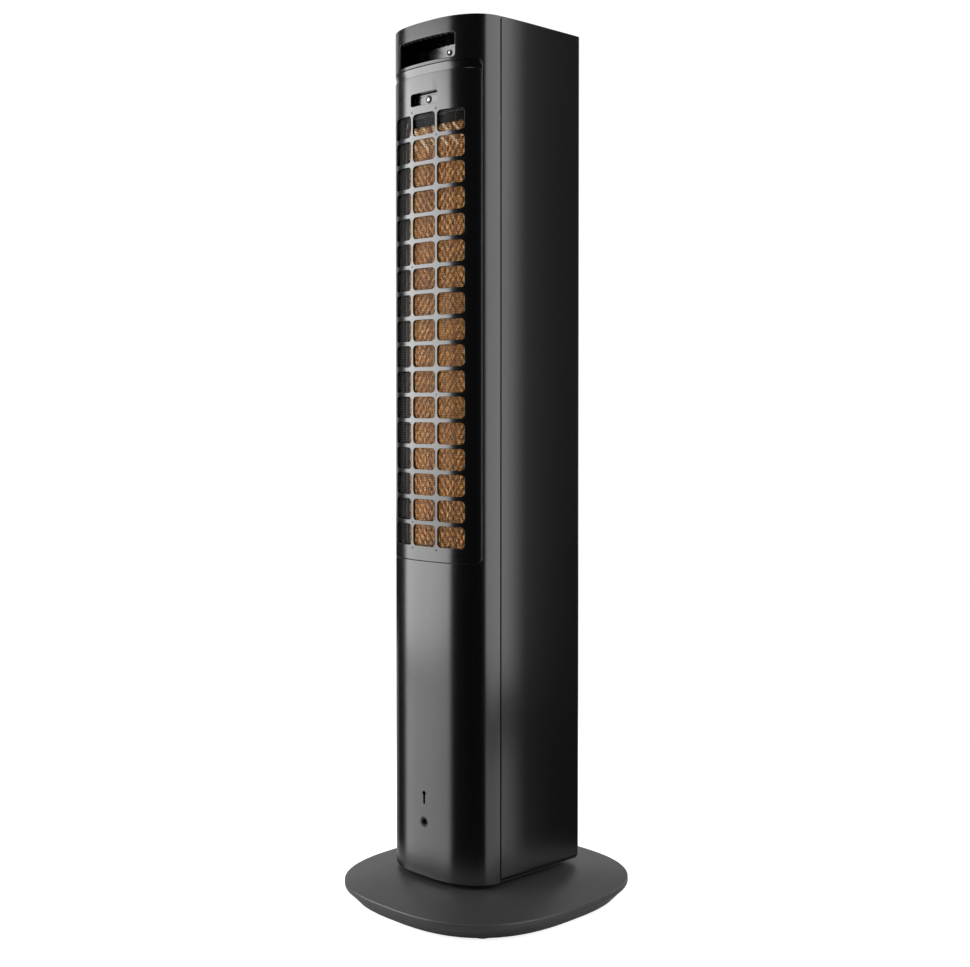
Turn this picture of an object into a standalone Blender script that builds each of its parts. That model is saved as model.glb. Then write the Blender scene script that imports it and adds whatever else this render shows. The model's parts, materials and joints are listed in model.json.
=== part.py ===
"""Evaporative tower air cooler: a tall column that swivels on a round-cornered base.

Sizes are in millimetres and become metres as the meshes are made.  The origin is the middle
of the base's underside, +Z is up, the air outlet faces -Y and the intake faces +Y.
"""
import math

import bmesh
import bpy
from mathutils import Matrix

MM = 0.001
GAP = 0.3

# Column plan: straight sides and front, and a superellipse back.
HALF_WIDTH = 85.84
BACK_DEPTH = 56.45
BACK_POWER = 2.595
BACK_Y = 109.8
BACK_START_Y = BACK_Y - BACK_DEPTH
FRONT_Y = -82.0
FRONT_CORNER = 5.0
WALL = 2.5
BODY_BOTTOM = 46.3
TOTAL_HEIGHT = 1100.0
SEAM_Y = 61.8
SEAM_GAP = 1.5
SIDE_SWELL = 2.1
SIDE_RUN = 57.0
INNER = WALL + GAP
INSIDE_X = HALF_WIDTH - INNER

# Base plan: superellipse outlines, one for the rim and one for the underside.
BASE_HALF_X = 164.3
BASE_HALF_Y = 172.1
BASE_POWER = 2.64
BASE_TOP = 42.0
BASE_SKIN = 2.5
NECK_HOLE_R = 30.0
FOOT_X = 105.0
FOOT_Y = 112.0
FOOT_R = 11.0

# Swivel drive: gear on the neck, pinion on a motor in the base.
GEAR_MODULE = 1.5
GEAR_TEETH = 48
PINION_TEETH = 12
GEAR_Z = (31.5, 37.5)
NECK_R = 28.0
PINION_Y = GEAR_MODULE * (GEAR_TEETH + PINION_TEETH) / 2

# Rear panel and its grille.
PANEL_HALF_X = 77.2
PANEL_Z = (438.7, 1046.0)
PANEL_CORNER = 9.0
PANEL_GAP = 0.75
GROOVE_BOTTOM = 1036.0
GROOVE_DEPTH = 3.0
GRILLE_ROWS = 17
ROW_PITCH = 31.63
ROW_OPENING = 26.3
TOP_BAR_Z = 960.0
COLUMNS = ((-61.3, -23.7), (-19.95, 19.95), (23.7, 61.3))
OPENING_CORNER = 4.0
PULL_HALF_X = 24.0
PULL_Z = (999.3, 1014.3)
PULL_BACK_Y = 100.3
PANEL_SCREW_Z = 1006.9

# Carrying handle pocket.
HANDLE_HALF_X = 49.7
HANDLE_Z = (1050.8, 1080.6)
HANDLE_BACK_Y = 64.8
HANDLE_WALL = 2.2
HANDLE_SCREW_Z = 1071.0
GRIP_RIBS = 11
GRIP_PITCH = 8.6
SCREW_HEAD_R = 3.3
SCREW_SHANK_R = 1.9

# Lower back: hook slot and cord outlet.
HOOK_R = 2.8
HOOK_CENTRE_Z = 149.8
HOOK_SLOT = (136.3, 150.0)
HOOK_SLOT_HALF = 1.4
CORD_Z = 114.0
CORD_HOLE_R = 4.25
GROMMET_R = 6.0

# Air path.
FAN_Y = -10.0
FAN_R = 46.0
FAN_BLADES = 18
FAN_Z = (460.0, 973.0)
SHAFT_R = 4.0
SCROLL_Z = (452.0, 985.0)
SCROLL_HALF_X = 66.0
SCROLL_Y = (-68.0, 56.0)
OUTLET_HALF_X = 62.0
OUTLET_Z = (440.0, 1000.0)
OUTLET_BARS = 9
OUTLET_RIBS = 4
PAD_Y = (60.0, 90.0)
PAD_HALF_X = 54.3
PAD_Z = (452.0, 980.0)
TRAY_HALF_X = 66.0

# Tank drawer and the water circuit.
TANK_HALF_X = 70.0
TANK_Y = (-72.0, 55.0)
TANK_Z = (80.0, 290.0)
TANK_FRONT_HALF_X = 73.5
TANK_FRONT_Z = (68.0, 328.0)
PUMP_X = -50.0
PUMP_Y = 32.0
FLOAT_X = 50.0
FLOAT_Y = 34.0
DRAIN_X = 40.0
DRAIN_Y = 48.0
BULKHEAD_Z = (360.0, 364.0)
TOP_BULKHEAD_Z = (1004.5, 1008.5)

# Controls in the top.
DECK_Z = (1094.5, 1098.5)
CONTROL_HALF_X = 60.0
CONTROL_Y = (-66.0, -6.0)
BUTTON_R = 7.0
BUTTON_PITCH = 22.0
BUTTON_Y = -50.0
BUTTON_COUNT = 5
DISPLAY_HALF_X = 30.0
DISPLAY_Y = (-33.0, -15.0)

BLACK = (0.012, 0.012, 0.013)
STEEL = (0.55, 0.55, 0.57)


def clear_scene():
    for obj in list(bpy.data.objects):
        bpy.data.objects.remove(obj)


def new_collection(name):
    collection = bpy.data.collections.new(name)
    bpy.context.scene.collection.children.link(collection)
    return collection


clear_scene()
PARTS = new_collection("evaporative_tower_cooler")
CUTTERS = new_collection("cutters")


# Shapes ---------------------------------------------------------------------------------------

def add_mesh(name, bm):
    """Turns a bmesh in millimetres into an object in metres."""
    bmesh.ops.recalc_face_normals(bm, faces=bm.faces)
    bmesh.ops.scale(bm, vec=(MM, MM, MM), verts=bm.verts)
    mesh = bpy.data.meshes.new(name)
    bm.to_mesh(mesh)
    bm.free()
    obj = bpy.data.objects.new(name, mesh)
    PARTS.objects.link(obj)
    return obj


def cube_into(bm, x, y, z):
    made = bmesh.ops.create_cube(bm, size=1.0)["verts"]
    bmesh.ops.scale(bm, vec=(x[1] - x[0], y[1] - y[0], z[1] - z[0]), verts=made)
    centre = ((x[0] + x[1]) / 2, (y[0] + y[1]) / 2, (z[0] + z[1]) / 2)
    bmesh.ops.translate(bm, vec=centre, verts=made)
    return made


def box(name, x, y, z):
    bm = bmesh.new()
    cube_into(bm, x, y, z)
    return add_mesh(name, bm)


def boxes(name, spans):
    bm = bmesh.new()
    for x, y, z in spans:
        cube_into(bm, x, y, z)
    return add_mesh(name, bm)


def rod(name, centre, radius, span, axis="Z", sides=32):
    """A cylinder along one axis: centre gives its place on the two other axes, in order."""
    bm = bmesh.new()
    bmesh.ops.create_cone(bm, cap_ends=True, segments=sides, radius1=radius, radius2=radius,
                          depth=span[1] - span[0])
    middle = (span[0] + span[1]) / 2
    if axis == "Y":
        bmesh.ops.rotate(bm, matrix=Matrix.Rotation(math.pi / 2, 3, "X"), verts=bm.verts)
        bmesh.ops.translate(bm, vec=(centre[0], middle, centre[1]), verts=bm.verts)
    else:
        bmesh.ops.translate(bm, vec=(centre[0], centre[1], middle), verts=bm.verts)
    return add_mesh(name, bm)


def extrude_into(bm, outline, low, high, upright=False):
    """Fills an outline at one level and extrudes it, up, or along +Y for an upright one."""
    if upright:
        ring = [bm.verts.new((a, low, b)) for a, b in outline]
        travel = (0, high - low, 0)
    else:
        ring = [bm.verts.new((a, b, low)) for a, b in outline]
        travel = (0, 0, high - low)
    face = bm.faces.new(ring)
    grown = bmesh.ops.extrude_face_region(bm, geom=[face])
    top = [item for item in grown["geom"] if isinstance(item, bmesh.types.BMVert)]
    bmesh.ops.translate(bm, vec=travel, verts=top)
    return top


def prism(name, outline, low, high, upright=False):
    bm = bmesh.new()
    extrude_into(bm, outline, low, high, upright)
    return add_mesh(name, bm)


def turned(name, profile, centre=(0.0, 0.0), sides=48, axis="Z"):
    """Spins a closed profile of (radius, height) points, outer side from top to bottom first."""
    mesh = bpy.data.meshes.new(name)
    points = [(radius * MM, 0.0, height * MM) for radius, height in profile]
    count = len(points)
    closed = all(radius > 0 for radius, height in profile)
    edges = [(i, (i + 1) % count) for i in range(count if closed else count - 1)]
    mesh.from_pydata(points, edges, [])
    obj = bpy.data.objects.new(name, mesh)
    PARTS.objects.link(obj)
    screw = obj.modifiers.new("turn", "SCREW")
    screw.angle = 2 * math.pi
    screw.steps = sides
    screw.render_steps = sides
    screw.use_merge_vertices = True
    screw.merge_threshold = 0.00001
    if axis == "Y":
        obj.location = (centre[0] * MM, 0.0, centre[1] * MM)
        obj.rotation_euler = (-math.pi / 2, 0.0, 0.0)
    else:
        obj.location = (centre[0] * MM, centre[1] * MM, 0.0)
    return obj


def swept_ring(name, profile, outline):
    """Carries a closed profile of (inset, height) points round an outline that takes an inset."""
    bm = bmesh.new()
    rings = []
    for inset, height in profile:
        rings.append([bm.verts.new((x, y, height)) for x, y in outline(inset)])
    sides = len(rings[0])
    for i, lower in enumerate(rings):
        upper = rings[(i + 1) % len(rings)]
        for j in range(sides):
            k = (j + 1) % sides
            bm.faces.new((lower[j], lower[k], upper[k], upper[j]))
    return add_mesh(name, bm)


def hose(name, route, radius, wall):
    """A hollow tube along a smooth route: a curve made into a mesh, with its wall inwards."""
    curve = bpy.data.curves.new(name, "CURVE")
    curve.dimensions = "3D"
    curve.bevel_depth = radius * MM
    curve.bevel_resolution = 1
    curve.resolution_u = 2
    spline = curve.splines.new("NURBS")
    spline.points.add(len(route) - 1)
    spline.order_u = 3
    spline.use_endpoint_u = True
    for point, (x, y, z) in zip(spline.points, route):
        point.co = (x * MM, y * MM, z * MM, 1.0)
    guide = bpy.data.objects.new(name + "_guide", curve)
    PARTS.objects.link(guide)
    bpy.context.view_layer.update()
    seen = guide.evaluated_get(bpy.context.evaluated_depsgraph_get())
    mesh = bpy.data.meshes.new_from_object(seen)
    bpy.data.objects.remove(guide)
    obj = bpy.data.objects.new(name, mesh)
    PARTS.objects.link(obj)
    solid = obj.modifiers.new("wall", "SOLIDIFY")
    solid.thickness = wall * MM
    solid.offset = -1
    return obj


# Combining ------------------------------------------------------------------------------------

def use_tool(target, tool, operation):
    for collection in tool.users_collection:
        collection.objects.unlink(tool)
    CUTTERS.objects.link(tool)
    tool.hide_render = True
    tool.display_type = "WIRE"
    hang(tool, target)
    modifier = target.modifiers.new(operation.lower(), "BOOLEAN")
    modifier.operation = operation
    modifier.solver = "EXACT"
    modifier.object = tool


def cut(target, *tools):
    for tool in tools:
        use_tool(target, tool, "DIFFERENCE")
    return target


def add(target, *tools):
    for tool in tools:
        use_tool(target, tool, "UNION")
    return target


def trim(target, tool):
    use_tool(target, tool, "INTERSECT")
    return target


def finish(obj, colour=BLACK, roughness=0.35, metallic=0.0, pivot=None):
    """Gives a piece its own material and hangs it on the pivot that it moves with."""
    material = bpy.data.materials.new(obj.name + "_material")
    material.use_nodes = True
    shader = material.node_tree.nodes["Principled BSDF"]
    shader.inputs["Base Color"].default_value = (*colour, 1.0)
    shader.inputs["Roughness"].default_value = roughness
    shader.inputs["Metallic"].default_value = metallic
    obj.data.materials.append(material)
    if pivot:
        hang(obj, pivot)
    return obj


def hang(obj, pivot):
    bpy.context.view_layer.update()
    obj.parent = pivot
    obj.matrix_parent_inverse = pivot.matrix_world.inverted()


def new_pivot(name, place, parent=None):
    pivot = bpy.data.objects.new(name, None)
    pivot.empty_display_size = 0.03
    PARTS.objects.link(pivot)
    pivot.location = [value * MM for value in place]
    if parent:
        hang(pivot, parent)
    bpy.context.view_layer.update()
    return pivot


# Outlines -------------------------------------------------------------------------------------

def signed_power(value, power):
    return math.copysign(abs(value) ** power, value)


def body_outline(inset, back_sides=24):
    """The column's plan, counter-clockwise from its +X side round the back."""
    half = HALF_WIDTH - inset
    depth = BACK_DEPTH - inset
    points = []
    for i in range(1, back_sides):
        angle = math.pi * i / back_sides
        x = half * signed_power(math.cos(angle), 2 / BACK_POWER)
        y = BACK_START_Y + depth * abs(math.sin(angle)) ** (2 / BACK_POWER)
        points.append((x, y))
    corner = max(FRONT_CORNER - inset, 0.8)
    front = FRONT_Y + inset
    widest = half + SIDE_SWELL - 0.24
    side = [(widest - SIDE_SWELL * (1 - run) ** 2, SEAM_Y - SIDE_RUN * run)
            for run in (0.0, 0.25, 0.5, 0.75, 1.0)]
    for i in range(5):
        angle = -math.pi / 2 * i / 4
        x = widest - corner + corner * math.cos(angle)
        side.append((x, front + corner + corner * math.sin(angle)))
    points += [(-x, y) for x, y in side]
    points += reversed(side)
    return points


def base_outline(inset, sides=40):
    points = []
    for i in range(sides):
        angle = 2 * math.pi * i / sides
        x = (BASE_HALF_X - inset) * signed_power(math.cos(angle), 2 / BASE_POWER)
        y = (BASE_HALF_Y - inset) * signed_power(math.sin(angle), 2 / BASE_POWER)
        points.append((x, y))
    return points


def rounded_rectangle(x, z, corner, steps=3):
    points = []
    centres = ((x[1] - corner, z[1] - corner), (x[0] + corner, z[1] - corner),
               (x[0] + corner, z[0] + corner), (x[1] - corner, z[0] + corner))
    for quarter, (cx, cz) in enumerate(centres):
        for i in range(steps + 1):
            angle = math.pi / 2 * (quarter + i / steps)
            points.append((cx + corner * math.cos(angle), cz + corner * math.sin(angle)))
    return points


def panel_outline(growth=0.0):
    """The rear panel seen from behind: rounded at its bottom corners, square at its top."""
    half = PANEL_HALF_X + growth
    low = PANEL_Z[0] - growth
    high = PANEL_Z[1] + growth
    lower = rounded_rectangle((-half, half), (low, low + 4 * PANEL_CORNER), PANEL_CORNER)
    lower = [(x, z) for x, z in lower if z < low + 2 * PANEL_CORNER]
    return [(half, high), (-half, high)] + lower


def gear_outline(teeth, phase):
    """Plain straight-flanked teeth, slim enough to run with play."""
    pitch_r = GEAR_MODULE * teeth / 2
    step = 2 * math.pi / teeth
    points = []
    for i in range(teeth):
        middle = phase + i * step
        for share, radius in ((-0.27, pitch_r - 1.7), (-0.11, pitch_r + 1.2),
                              (0.11, pitch_r + 1.2), (0.27, pitch_r - 1.7)):
            angle = middle + share * step
            points.append((radius * math.cos(angle), radius * math.sin(angle)))
    return points


def body_prism(name, inset, low, high):
    return prism(name, body_outline(inset), low, high)


def body_wall(name, low, high, inset=0.0, thickness=WALL):
    wall = body_prism(name, inset, low, high)
    return cut(wall, body_prism(name + "_core", inset + thickness, low - 5, high + 5))


# Base -----------------------------------------------------------------------------------------

def make_base():
    outer = ((13.8, 2.5), (3.2, 16.5), (0.5, 19.3), (0.0, 21.0), (1.6, 23.4), (6.0, 25.6),
             (20.0, 30.4), (40.0, 36.4), (62.0, 40.4), (90.0, BASE_TOP))
    hub = BASE_HALF_X - 44.0
    outer = outer + ((hub, BASE_TOP), (hub, BASE_TOP - BASE_SKIN))
    inner = ((90.0, BASE_TOP - BASE_SKIN), (62.0, 37.8), (40.0, 33.8), (20.0, 27.8), (6.0, 22.6),
             (3.2, 20.6), (16.6, 2.5))
    cover = swept_ring("base_cover", outer + inner, base_outline)
    collar = rod("base_cover_collar", (0, 0), 56.0, (BASE_TOP - BASE_SKIN, BASE_TOP), sides=48)
    add(cover, collar)
    cut(cover, rod("base_cover_bore", (0, 0), NECK_HOLE_R, (30, 50), sides=48))
    finish(cover, roughness=0.3)

    plate = prism("base_plate", base_outline(18.6), 3.3, 6.0)
    finish(plate, roughness=0.6)
    ballast = prism("ballast_plate", base_outline(42.0), 6.3, 12.0)
    cut(ballast, rod("ballast_plate_bore", (0, 0), 22.0, (0, 20), sides=24))
    finish(ballast, STEEL, 0.5, 1.0)

    spots = {"foot_front_left": (-1, -1), "foot_front_right": (1, -1),
             "foot_rear_left": (-1, 1), "foot_rear_right": (1, 1)}
    for name, (side, end) in spots.items():
        foot = turned(name, ((0, 3.0), (FOOT_R, 3.0), (FOOT_R, 1.0), (FOOT_R - 1.0, 0.0), (0, 0)),
                      (side * FOOT_X, end * FOOT_Y), sides=20)
        finish(foot, (0.02, 0.02, 0.02), 0.9)

    glide = turned("bearing_ring", ((50, 46.3), (50, 42.3), (31, 42.3), (31, 46.3)), sides=40)
    finish(glide, (0.8, 0.8, 0.78), 0.4)

    motor = rod("swivel_motor", (0, PINION_Y), 24.0, (12.4, 26.0))
    add(motor, box("swivel_motor_ears", (-32, 32), (PINION_Y - 7, PINION_Y + 7), (22.5, 24.5)))
    cut(motor, rod("swivel_motor_bore", (0, PINION_Y), 3.3, (17, 30), sides=16))
    finish(motor, STEEL, 0.4, 1.0)


def make_pinion():
    pivot = new_pivot("pinion_axis", (0, PINION_Y, 0))
    outline = gear_outline(PINION_TEETH, math.pi / PINION_TEETH - math.pi / 2)
    outline = [(x, y + PINION_Y) for x, y in outline]
    pinion = prism("drive_pinion", outline, *GEAR_Z)
    add(pinion, rod("drive_pinion_stub", (0, PINION_Y), 3.0, (18, 32), sides=16))
    finish(pinion, (0.8, 0.8, 0.76), 0.4, pivot=pivot)


# Column: structure ----------------------------------------------------------------------------

def make_swivel(tower):
    floor = body_prism("floor_plate", INNER, 46.6, 50.6)
    cut(floor, rod("floor_plate_bore", (0, 0), NECK_R + GAP, (40, 60)))
    finish(floor, roughness=0.6, pivot=tower)

    flange = 50.9
    neck = turned("swivel_neck", ((38, 54), (38, flange), (NECK_R, flange), (NECK_R, 29),
                                  (22, 29), (22, 54)), sides=40)
    finish(neck, (0.8, 0.8, 0.78), 0.4, pivot=tower)

    gear = prism("swivel_gear", gear_outline(GEAR_TEETH, math.pi / 2), *GEAR_Z)
    cut(gear, rod("swivel_gear_bore", (0, 0), NECK_R + GAP, (25, 45), sides=40))
    finish(gear, (0.8, 0.8, 0.76), 0.4, pivot=tower)


def make_rear_shell(tower):
    shell = body_wall("rear_shell", BODY_BOTTOM, TOTAL_HEIGHT)
    cut(shell, box("rear_shell_seam", (-100, 100), (-100, SEAM_Y), (0, 1200)))
    cut(shell, prism("rear_shell_window", panel_outline(PANEL_GAP), 20, 140, upright=True))
    mouth = rounded_rectangle((-HANDLE_HALF_X, HANDLE_HALF_X), HANDLE_Z, 4.0)
    cut(shell, prism("rear_shell_mouth", mouth, 70, 140, upright=True))
    cut(shell, rod("rear_shell_hook", (0, HOOK_CENTRE_Z), HOOK_R, (95, 125), "Y", 16))
    cut(shell, box("rear_shell_slot", (-HOOK_SLOT_HALF, HOOK_SLOT_HALF), (95, 125), HOOK_SLOT))
    cut(shell, rod("rear_shell_cord", (0, CORD_Z), GROMMET_R + GAP, (95, 125), "Y", 20))
    finish(shell, pivot=tower)


def make_front_shell(tower):
    shell = body_wall("front_shell", BODY_BOTTOM + 1.2, TOTAL_HEIGHT)
    cut(shell, box("front_shell_seam", (-100, 100), (SEAM_Y - SEAM_GAP, 140), (0, 1200)))
    cut(shell, box("front_shell_outlet", (-OUTLET_HALF_X - GAP, OUTLET_HALF_X + GAP), (-100, -60),
                   (OUTLET_Z[0] - GAP, OUTLET_Z[1] + GAP)))
    cut(shell, box("front_shell_drawer", (-TANK_FRONT_HALF_X - 0.7, TANK_FRONT_HALF_X + 0.7),
                   (-100, -60), (TANK_FRONT_Z[0] - 0.7, TANK_FRONT_Z[1] + 0.7)))
    finish(shell, pivot=tower)


def make_bulkheads(tower):
    lower = body_prism("lower_bulkhead", INNER, *BULKHEAD_Z)
    cut(lower, rod("lower_bulkhead_riser", (PUMP_X, PUMP_Y), 6.0, (350, 370), sides=16))
    cut(lower, rod("lower_bulkhead_drain", (DRAIN_X, DRAIN_Y), 8.0, (350, 370), sides=16))
    finish(lower, (0.03, 0.03, 0.03), 0.6, pivot=tower)

    upper = body_prism("top_bulkhead", INNER, *TOP_BULKHEAD_Z)
    trim(upper, box("top_bulkhead_limit", (-90, 90), (-90, 95), (1000, 1015)))
    add(upper, box("top_bulkhead_post", (-8, 8), (82, 96.5), (999, 1015)))
    cut(upper, rod("top_bulkhead_bore", (0, PANEL_SCREW_Z), 2.9, (84, 99), "Y", 16))
    finish(upper, (0.03, 0.03, 0.03), 0.6, pivot=tower)

    splash = box("splash_wall", (-INSIDE_X, INSIDE_X), (59.0, 61.0), (50.9, BULKHEAD_Z[0] - GAP))
    trim(splash, body_prism("splash_wall_limit", INNER, 0, 500))
    finish(splash, (0.03, 0.03, 0.03), 0.6, pivot=tower)

    for name, side in (("tank_rail_left", -1), ("tank_rail_right", 1)):
        edges = sorted((side * 57, side * 63))
        rail = box(name, edges, (-70, 57), (50.9, TANK_Z[0] - GAP))
        finish(rail, (0.03, 0.03, 0.03), 0.6, pivot=tower)


# Column: outside fittings ---------------------------------------------------------------------

def make_handle(tower):
    low, high = HANDLE_Z
    wall = HANDLE_WALL
    cup = box("handle_cup", (-HANDLE_HALF_X - wall, HANDLE_HALF_X + wall),
              (HANDLE_BACK_Y - wall, 125), (low - wall, high + wall))
    mouth = rounded_rectangle((-HANDLE_HALF_X, HANDLE_HALF_X), HANDLE_Z, 4.0)
    cut(cup, prism("handle_cup_hollow", mouth, HANDLE_BACK_Y, 140, upright=True))
    trim(cup, body_prism("handle_cup_limit", INNER, 1000, 1120))
    ribs = []
    for i in range(GRIP_RIBS):
        x = (i - (GRIP_RIBS - 1) / 2) * GRIP_PITCH
        ribs.append(((x - 1.5, x + 1.5), (80, 96), (high - 1.8, high + 1.0)))
    add(cup, boxes("handle_cup_ribs", ribs))
    cut(cup, rod("handle_cup_bore", (0, HANDLE_SCREW_Z), 2.2, (55, 70), "Y", 16))
    finish(cup, pivot=tower)
    make_screw("handle_screw", HANDLE_BACK_Y + GAP, HANDLE_SCREW_Z, tower)


def make_screw(name, seat_y, height, pivot):
    """A pan-head screw along Y, its head towards the back."""
    head = seat_y + 2.0
    tip = seat_y - 12.0
    screw = rod(name, (0, height), SCREW_SHANK_R, (tip, seat_y + 0.5), "Y", 12)
    add(screw, rod(name + "_head", (0, height), SCREW_HEAD_R, (seat_y, head), "Y", 20))
    finish(screw, STEEL, 0.25, 1.0, pivot)


def make_grommet(tower):
    outer_y = BACK_Y - 0.4
    grommet = rod("cord_grommet", (0, CORD_Z), GROMMET_R, (103.0, outer_y), "Y", 20)
    add(grommet, rod("cord_grommet_flange", (0, CORD_Z), 8.5, (103.0, 106.5), "Y", 20))
    cut(grommet, rod("cord_grommet_bore", (0, CORD_Z), CORD_HOLE_R, (95, 120), "Y", 20))
    finish(grommet, (0.02, 0.02, 0.02), 0.8, pivot=tower)


def make_outlet_grille(tower):
    low, high = OUTLET_Z
    half = OUTLET_HALF_X
    depth = (-81.6, -70.0)
    grille = box("outlet_grille", (-half, half), depth, OUTLET_Z)
    cut(grille, box("outlet_grille_hollow", (-half + 5, half - 5), (-95, -60), (low + 6, high - 6)))
    pitch = (2 * half - 10) / (OUTLET_BARS + 1)
    bars = []
    for i in range(OUTLET_BARS):
        x = (i - (OUTLET_BARS - 1) / 2) * pitch
        bars.append(((x - 1.2, x + 1.2), (-80.6, -73.0), (low + 3, high - 3)))
    add(grille, boxes("outlet_grille_bars", bars))
    ribs = []
    for i in range(OUTLET_RIBS):
        z = low + (high - low) * (i + 1) / (OUTLET_RIBS + 1)
        ribs.append(((-half + 2, half - 2), (-77.0, -71.0), (z - 1.5, z + 1.5)))
    add(grille, boxes("outlet_grille_ribs", ribs))
    finish(grille, roughness=0.4, pivot=tower)


def make_top(tower):
    half = CONTROL_HALF_X
    deck = body_prism("top_deck", INNER, *DECK_Z)
    cut(deck, box("top_deck_well", (-half, half), CONTROL_Y, (1080, 1110)))
    finish(deck, pivot=tower)

    y = (CONTROL_Y[0] + GAP, CONTROL_Y[1] - GAP)
    panel = box("control_panel", (-half + GAP, half - GAP), y, DECK_Z)
    lens_x = (-DISPLAY_HALF_X, DISPLAY_HALF_X)
    for i, x in enumerate(button_places()):
        cut(panel, rod(f"control_panel_hole_{i + 1}", (x, BUTTON_Y), BUTTON_R + 0.4,
                       (1080, 1110), sides=24))
    cut(panel, box("control_panel_window", (lens_x[0] - GAP, lens_x[1] + GAP),
                   (DISPLAY_Y[0] - GAP, DISPLAY_Y[1] + GAP), (1080, 1110)))
    finish(panel, roughness=0.2, pivot=tower)
    lens = box("display_lens", lens_x, DISPLAY_Y, (DECK_Z[0], DECK_Z[1] - 0.2))
    finish(lens, (0.02, 0.02, 0.025), 0.05, pivot=tower)

    board = box("control_board", (-56, 56), (-62, -10), (1084, 1085.6))
    switches = [((x - 3, x + 3), (BUTTON_Y - 3, BUTTON_Y + 3), (1085, 1089)) for x in button_places()]
    add(board, boxes("control_board_switches", switches))
    finish(board, (0.02, 0.12, 0.05), 0.5, pivot=tower)


def button_places():
    return [(i - (BUTTON_COUNT - 1) / 2) * BUTTON_PITCH for i in range(BUTTON_COUNT)]


def make_buttons(tower):
    for i, x in enumerate(button_places()):
        pivot = new_pivot(f"button_{i + 1}_axis", (x, BUTTON_Y, DECK_Z[1]), tower)
        button = turned(f"button_{i + 1}",
                        ((0, 1099.6), (BUTTON_R - 0.6, 1099.6), (BUTTON_R, 1099.0),
                         (BUTTON_R, 1092.0), (0, 1092.0)), (x, BUTTON_Y), sides=24)
        add(button, rod(f"button_{i + 1}_stem", (x, BUTTON_Y), 2.0, (1090.5, 1093), sides=12))
        finish(button, (0.03, 0.03, 0.032), 0.3, pivot=pivot)


# Column: air and water ------------------------------------------------------------------------

def make_scroll(tower):
    half = SCROLL_HALF_X
    low, high = SCROLL_Z
    scroll = box("scroll_housing", (-half, half), SCROLL_Y, SCROLL_Z)
    room = (low + 3, high - 3)
    cut(scroll, rod("scroll_housing_drum", (0, FAN_Y), FAN_R + 6, room, sides=40))
    cut(scroll, box("scroll_housing_inlet", (-half + 6, half - 6), (FAN_Y + 24, 70), room))
    cut(scroll, box("scroll_housing_outlet", (-half + 9, half - 9), (-80, FAN_Y - 30), room))
    cut(scroll, rod("scroll_housing_bore", (0, FAN_Y), 8.0, (440, 1000), sides=16))
    finish(scroll, (0.75, 0.75, 0.73), 0.9, pivot=tower)

    bush = turned("top_bearing", ((10, 993), (10, 985.4), (SHAFT_R + GAP, 985.4),
                                  (SHAFT_R + GAP, 993)), (0, FAN_Y), sides=24)
    finish(bush, (0.5, 0.35, 0.15), 0.4, 1.0, tower)

    top = 446.0
    motor = turned("blower_motor", ((0, top), (14, top), (14, 438), (36, 436), (36, 372),
                                    (26, 364.4), (0, 364.4)), (0, FAN_Y), sides=36)
    cut(motor, rod("blower_motor_bore", (0, FAN_Y), SHAFT_R + GAP, (420, 460), sides=16))
    finish(motor, STEEL, 0.4, 1.0, tower)


def make_blower(tower):
    pivot = new_pivot("blower_axis", (0, FAN_Y, 0), tower)
    low, high = FAN_Z
    middle = (low + high) / 2
    wheel = rod("blower_wheel", (0, FAN_Y), FAN_R + 0.5, (low, low + 3), sides=48)
    add(wheel, make_blades(low + 1.5, high - 1.5))
    add(wheel, rod("blower_wheel_end", (0, FAN_Y), FAN_R + 0.5, (high - 3, high), sides=48))
    ring = ((FAN_R + 0.5, middle + 1.5), (FAN_R + 0.5, middle - 1.5), (34, middle - 1.5),
            (34, middle + 1.5))
    add(wheel, turned("blower_wheel_ring", ring, (0, FAN_Y), sides=48))
    cut(wheel, rod("blower_wheel_bore", (0, FAN_Y), SHAFT_R + GAP, (440, 1000), sides=16))
    finish(wheel, (0.05, 0.05, 0.05), 0.5, pivot=pivot)
    shaft = rod("blower_shaft", (0, FAN_Y), SHAFT_R, (425, 992), sides=16)
    finish(shaft, STEEL, 0.2, 1.0, pivot)


def make_blades(low, high):
    """The cross-flow wheel's blades: narrow strips set at a slant round its rim."""
    bm = bmesh.new()
    slant = Matrix.Rotation(math.radians(28), 3, "Z")
    for i in range(FAN_BLADES):
        made = cube_into(bm, (-5, 5), (-0.8, 0.8), (low, high))
        bmesh.ops.rotate(bm, matrix=slant, verts=made)
        bmesh.ops.translate(bm, vec=(FAN_R - 5.5, 0, 0), verts=made)
        turn = Matrix.Rotation(2 * math.pi * i / FAN_BLADES, 3, "Z")
        bmesh.ops.rotate(bm, matrix=turn, verts=made)
    bmesh.ops.translate(bm, vec=(0, FAN_Y, 0), verts=bm.verts)
    return add_mesh("blower_wheel_blades", bm)


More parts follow.
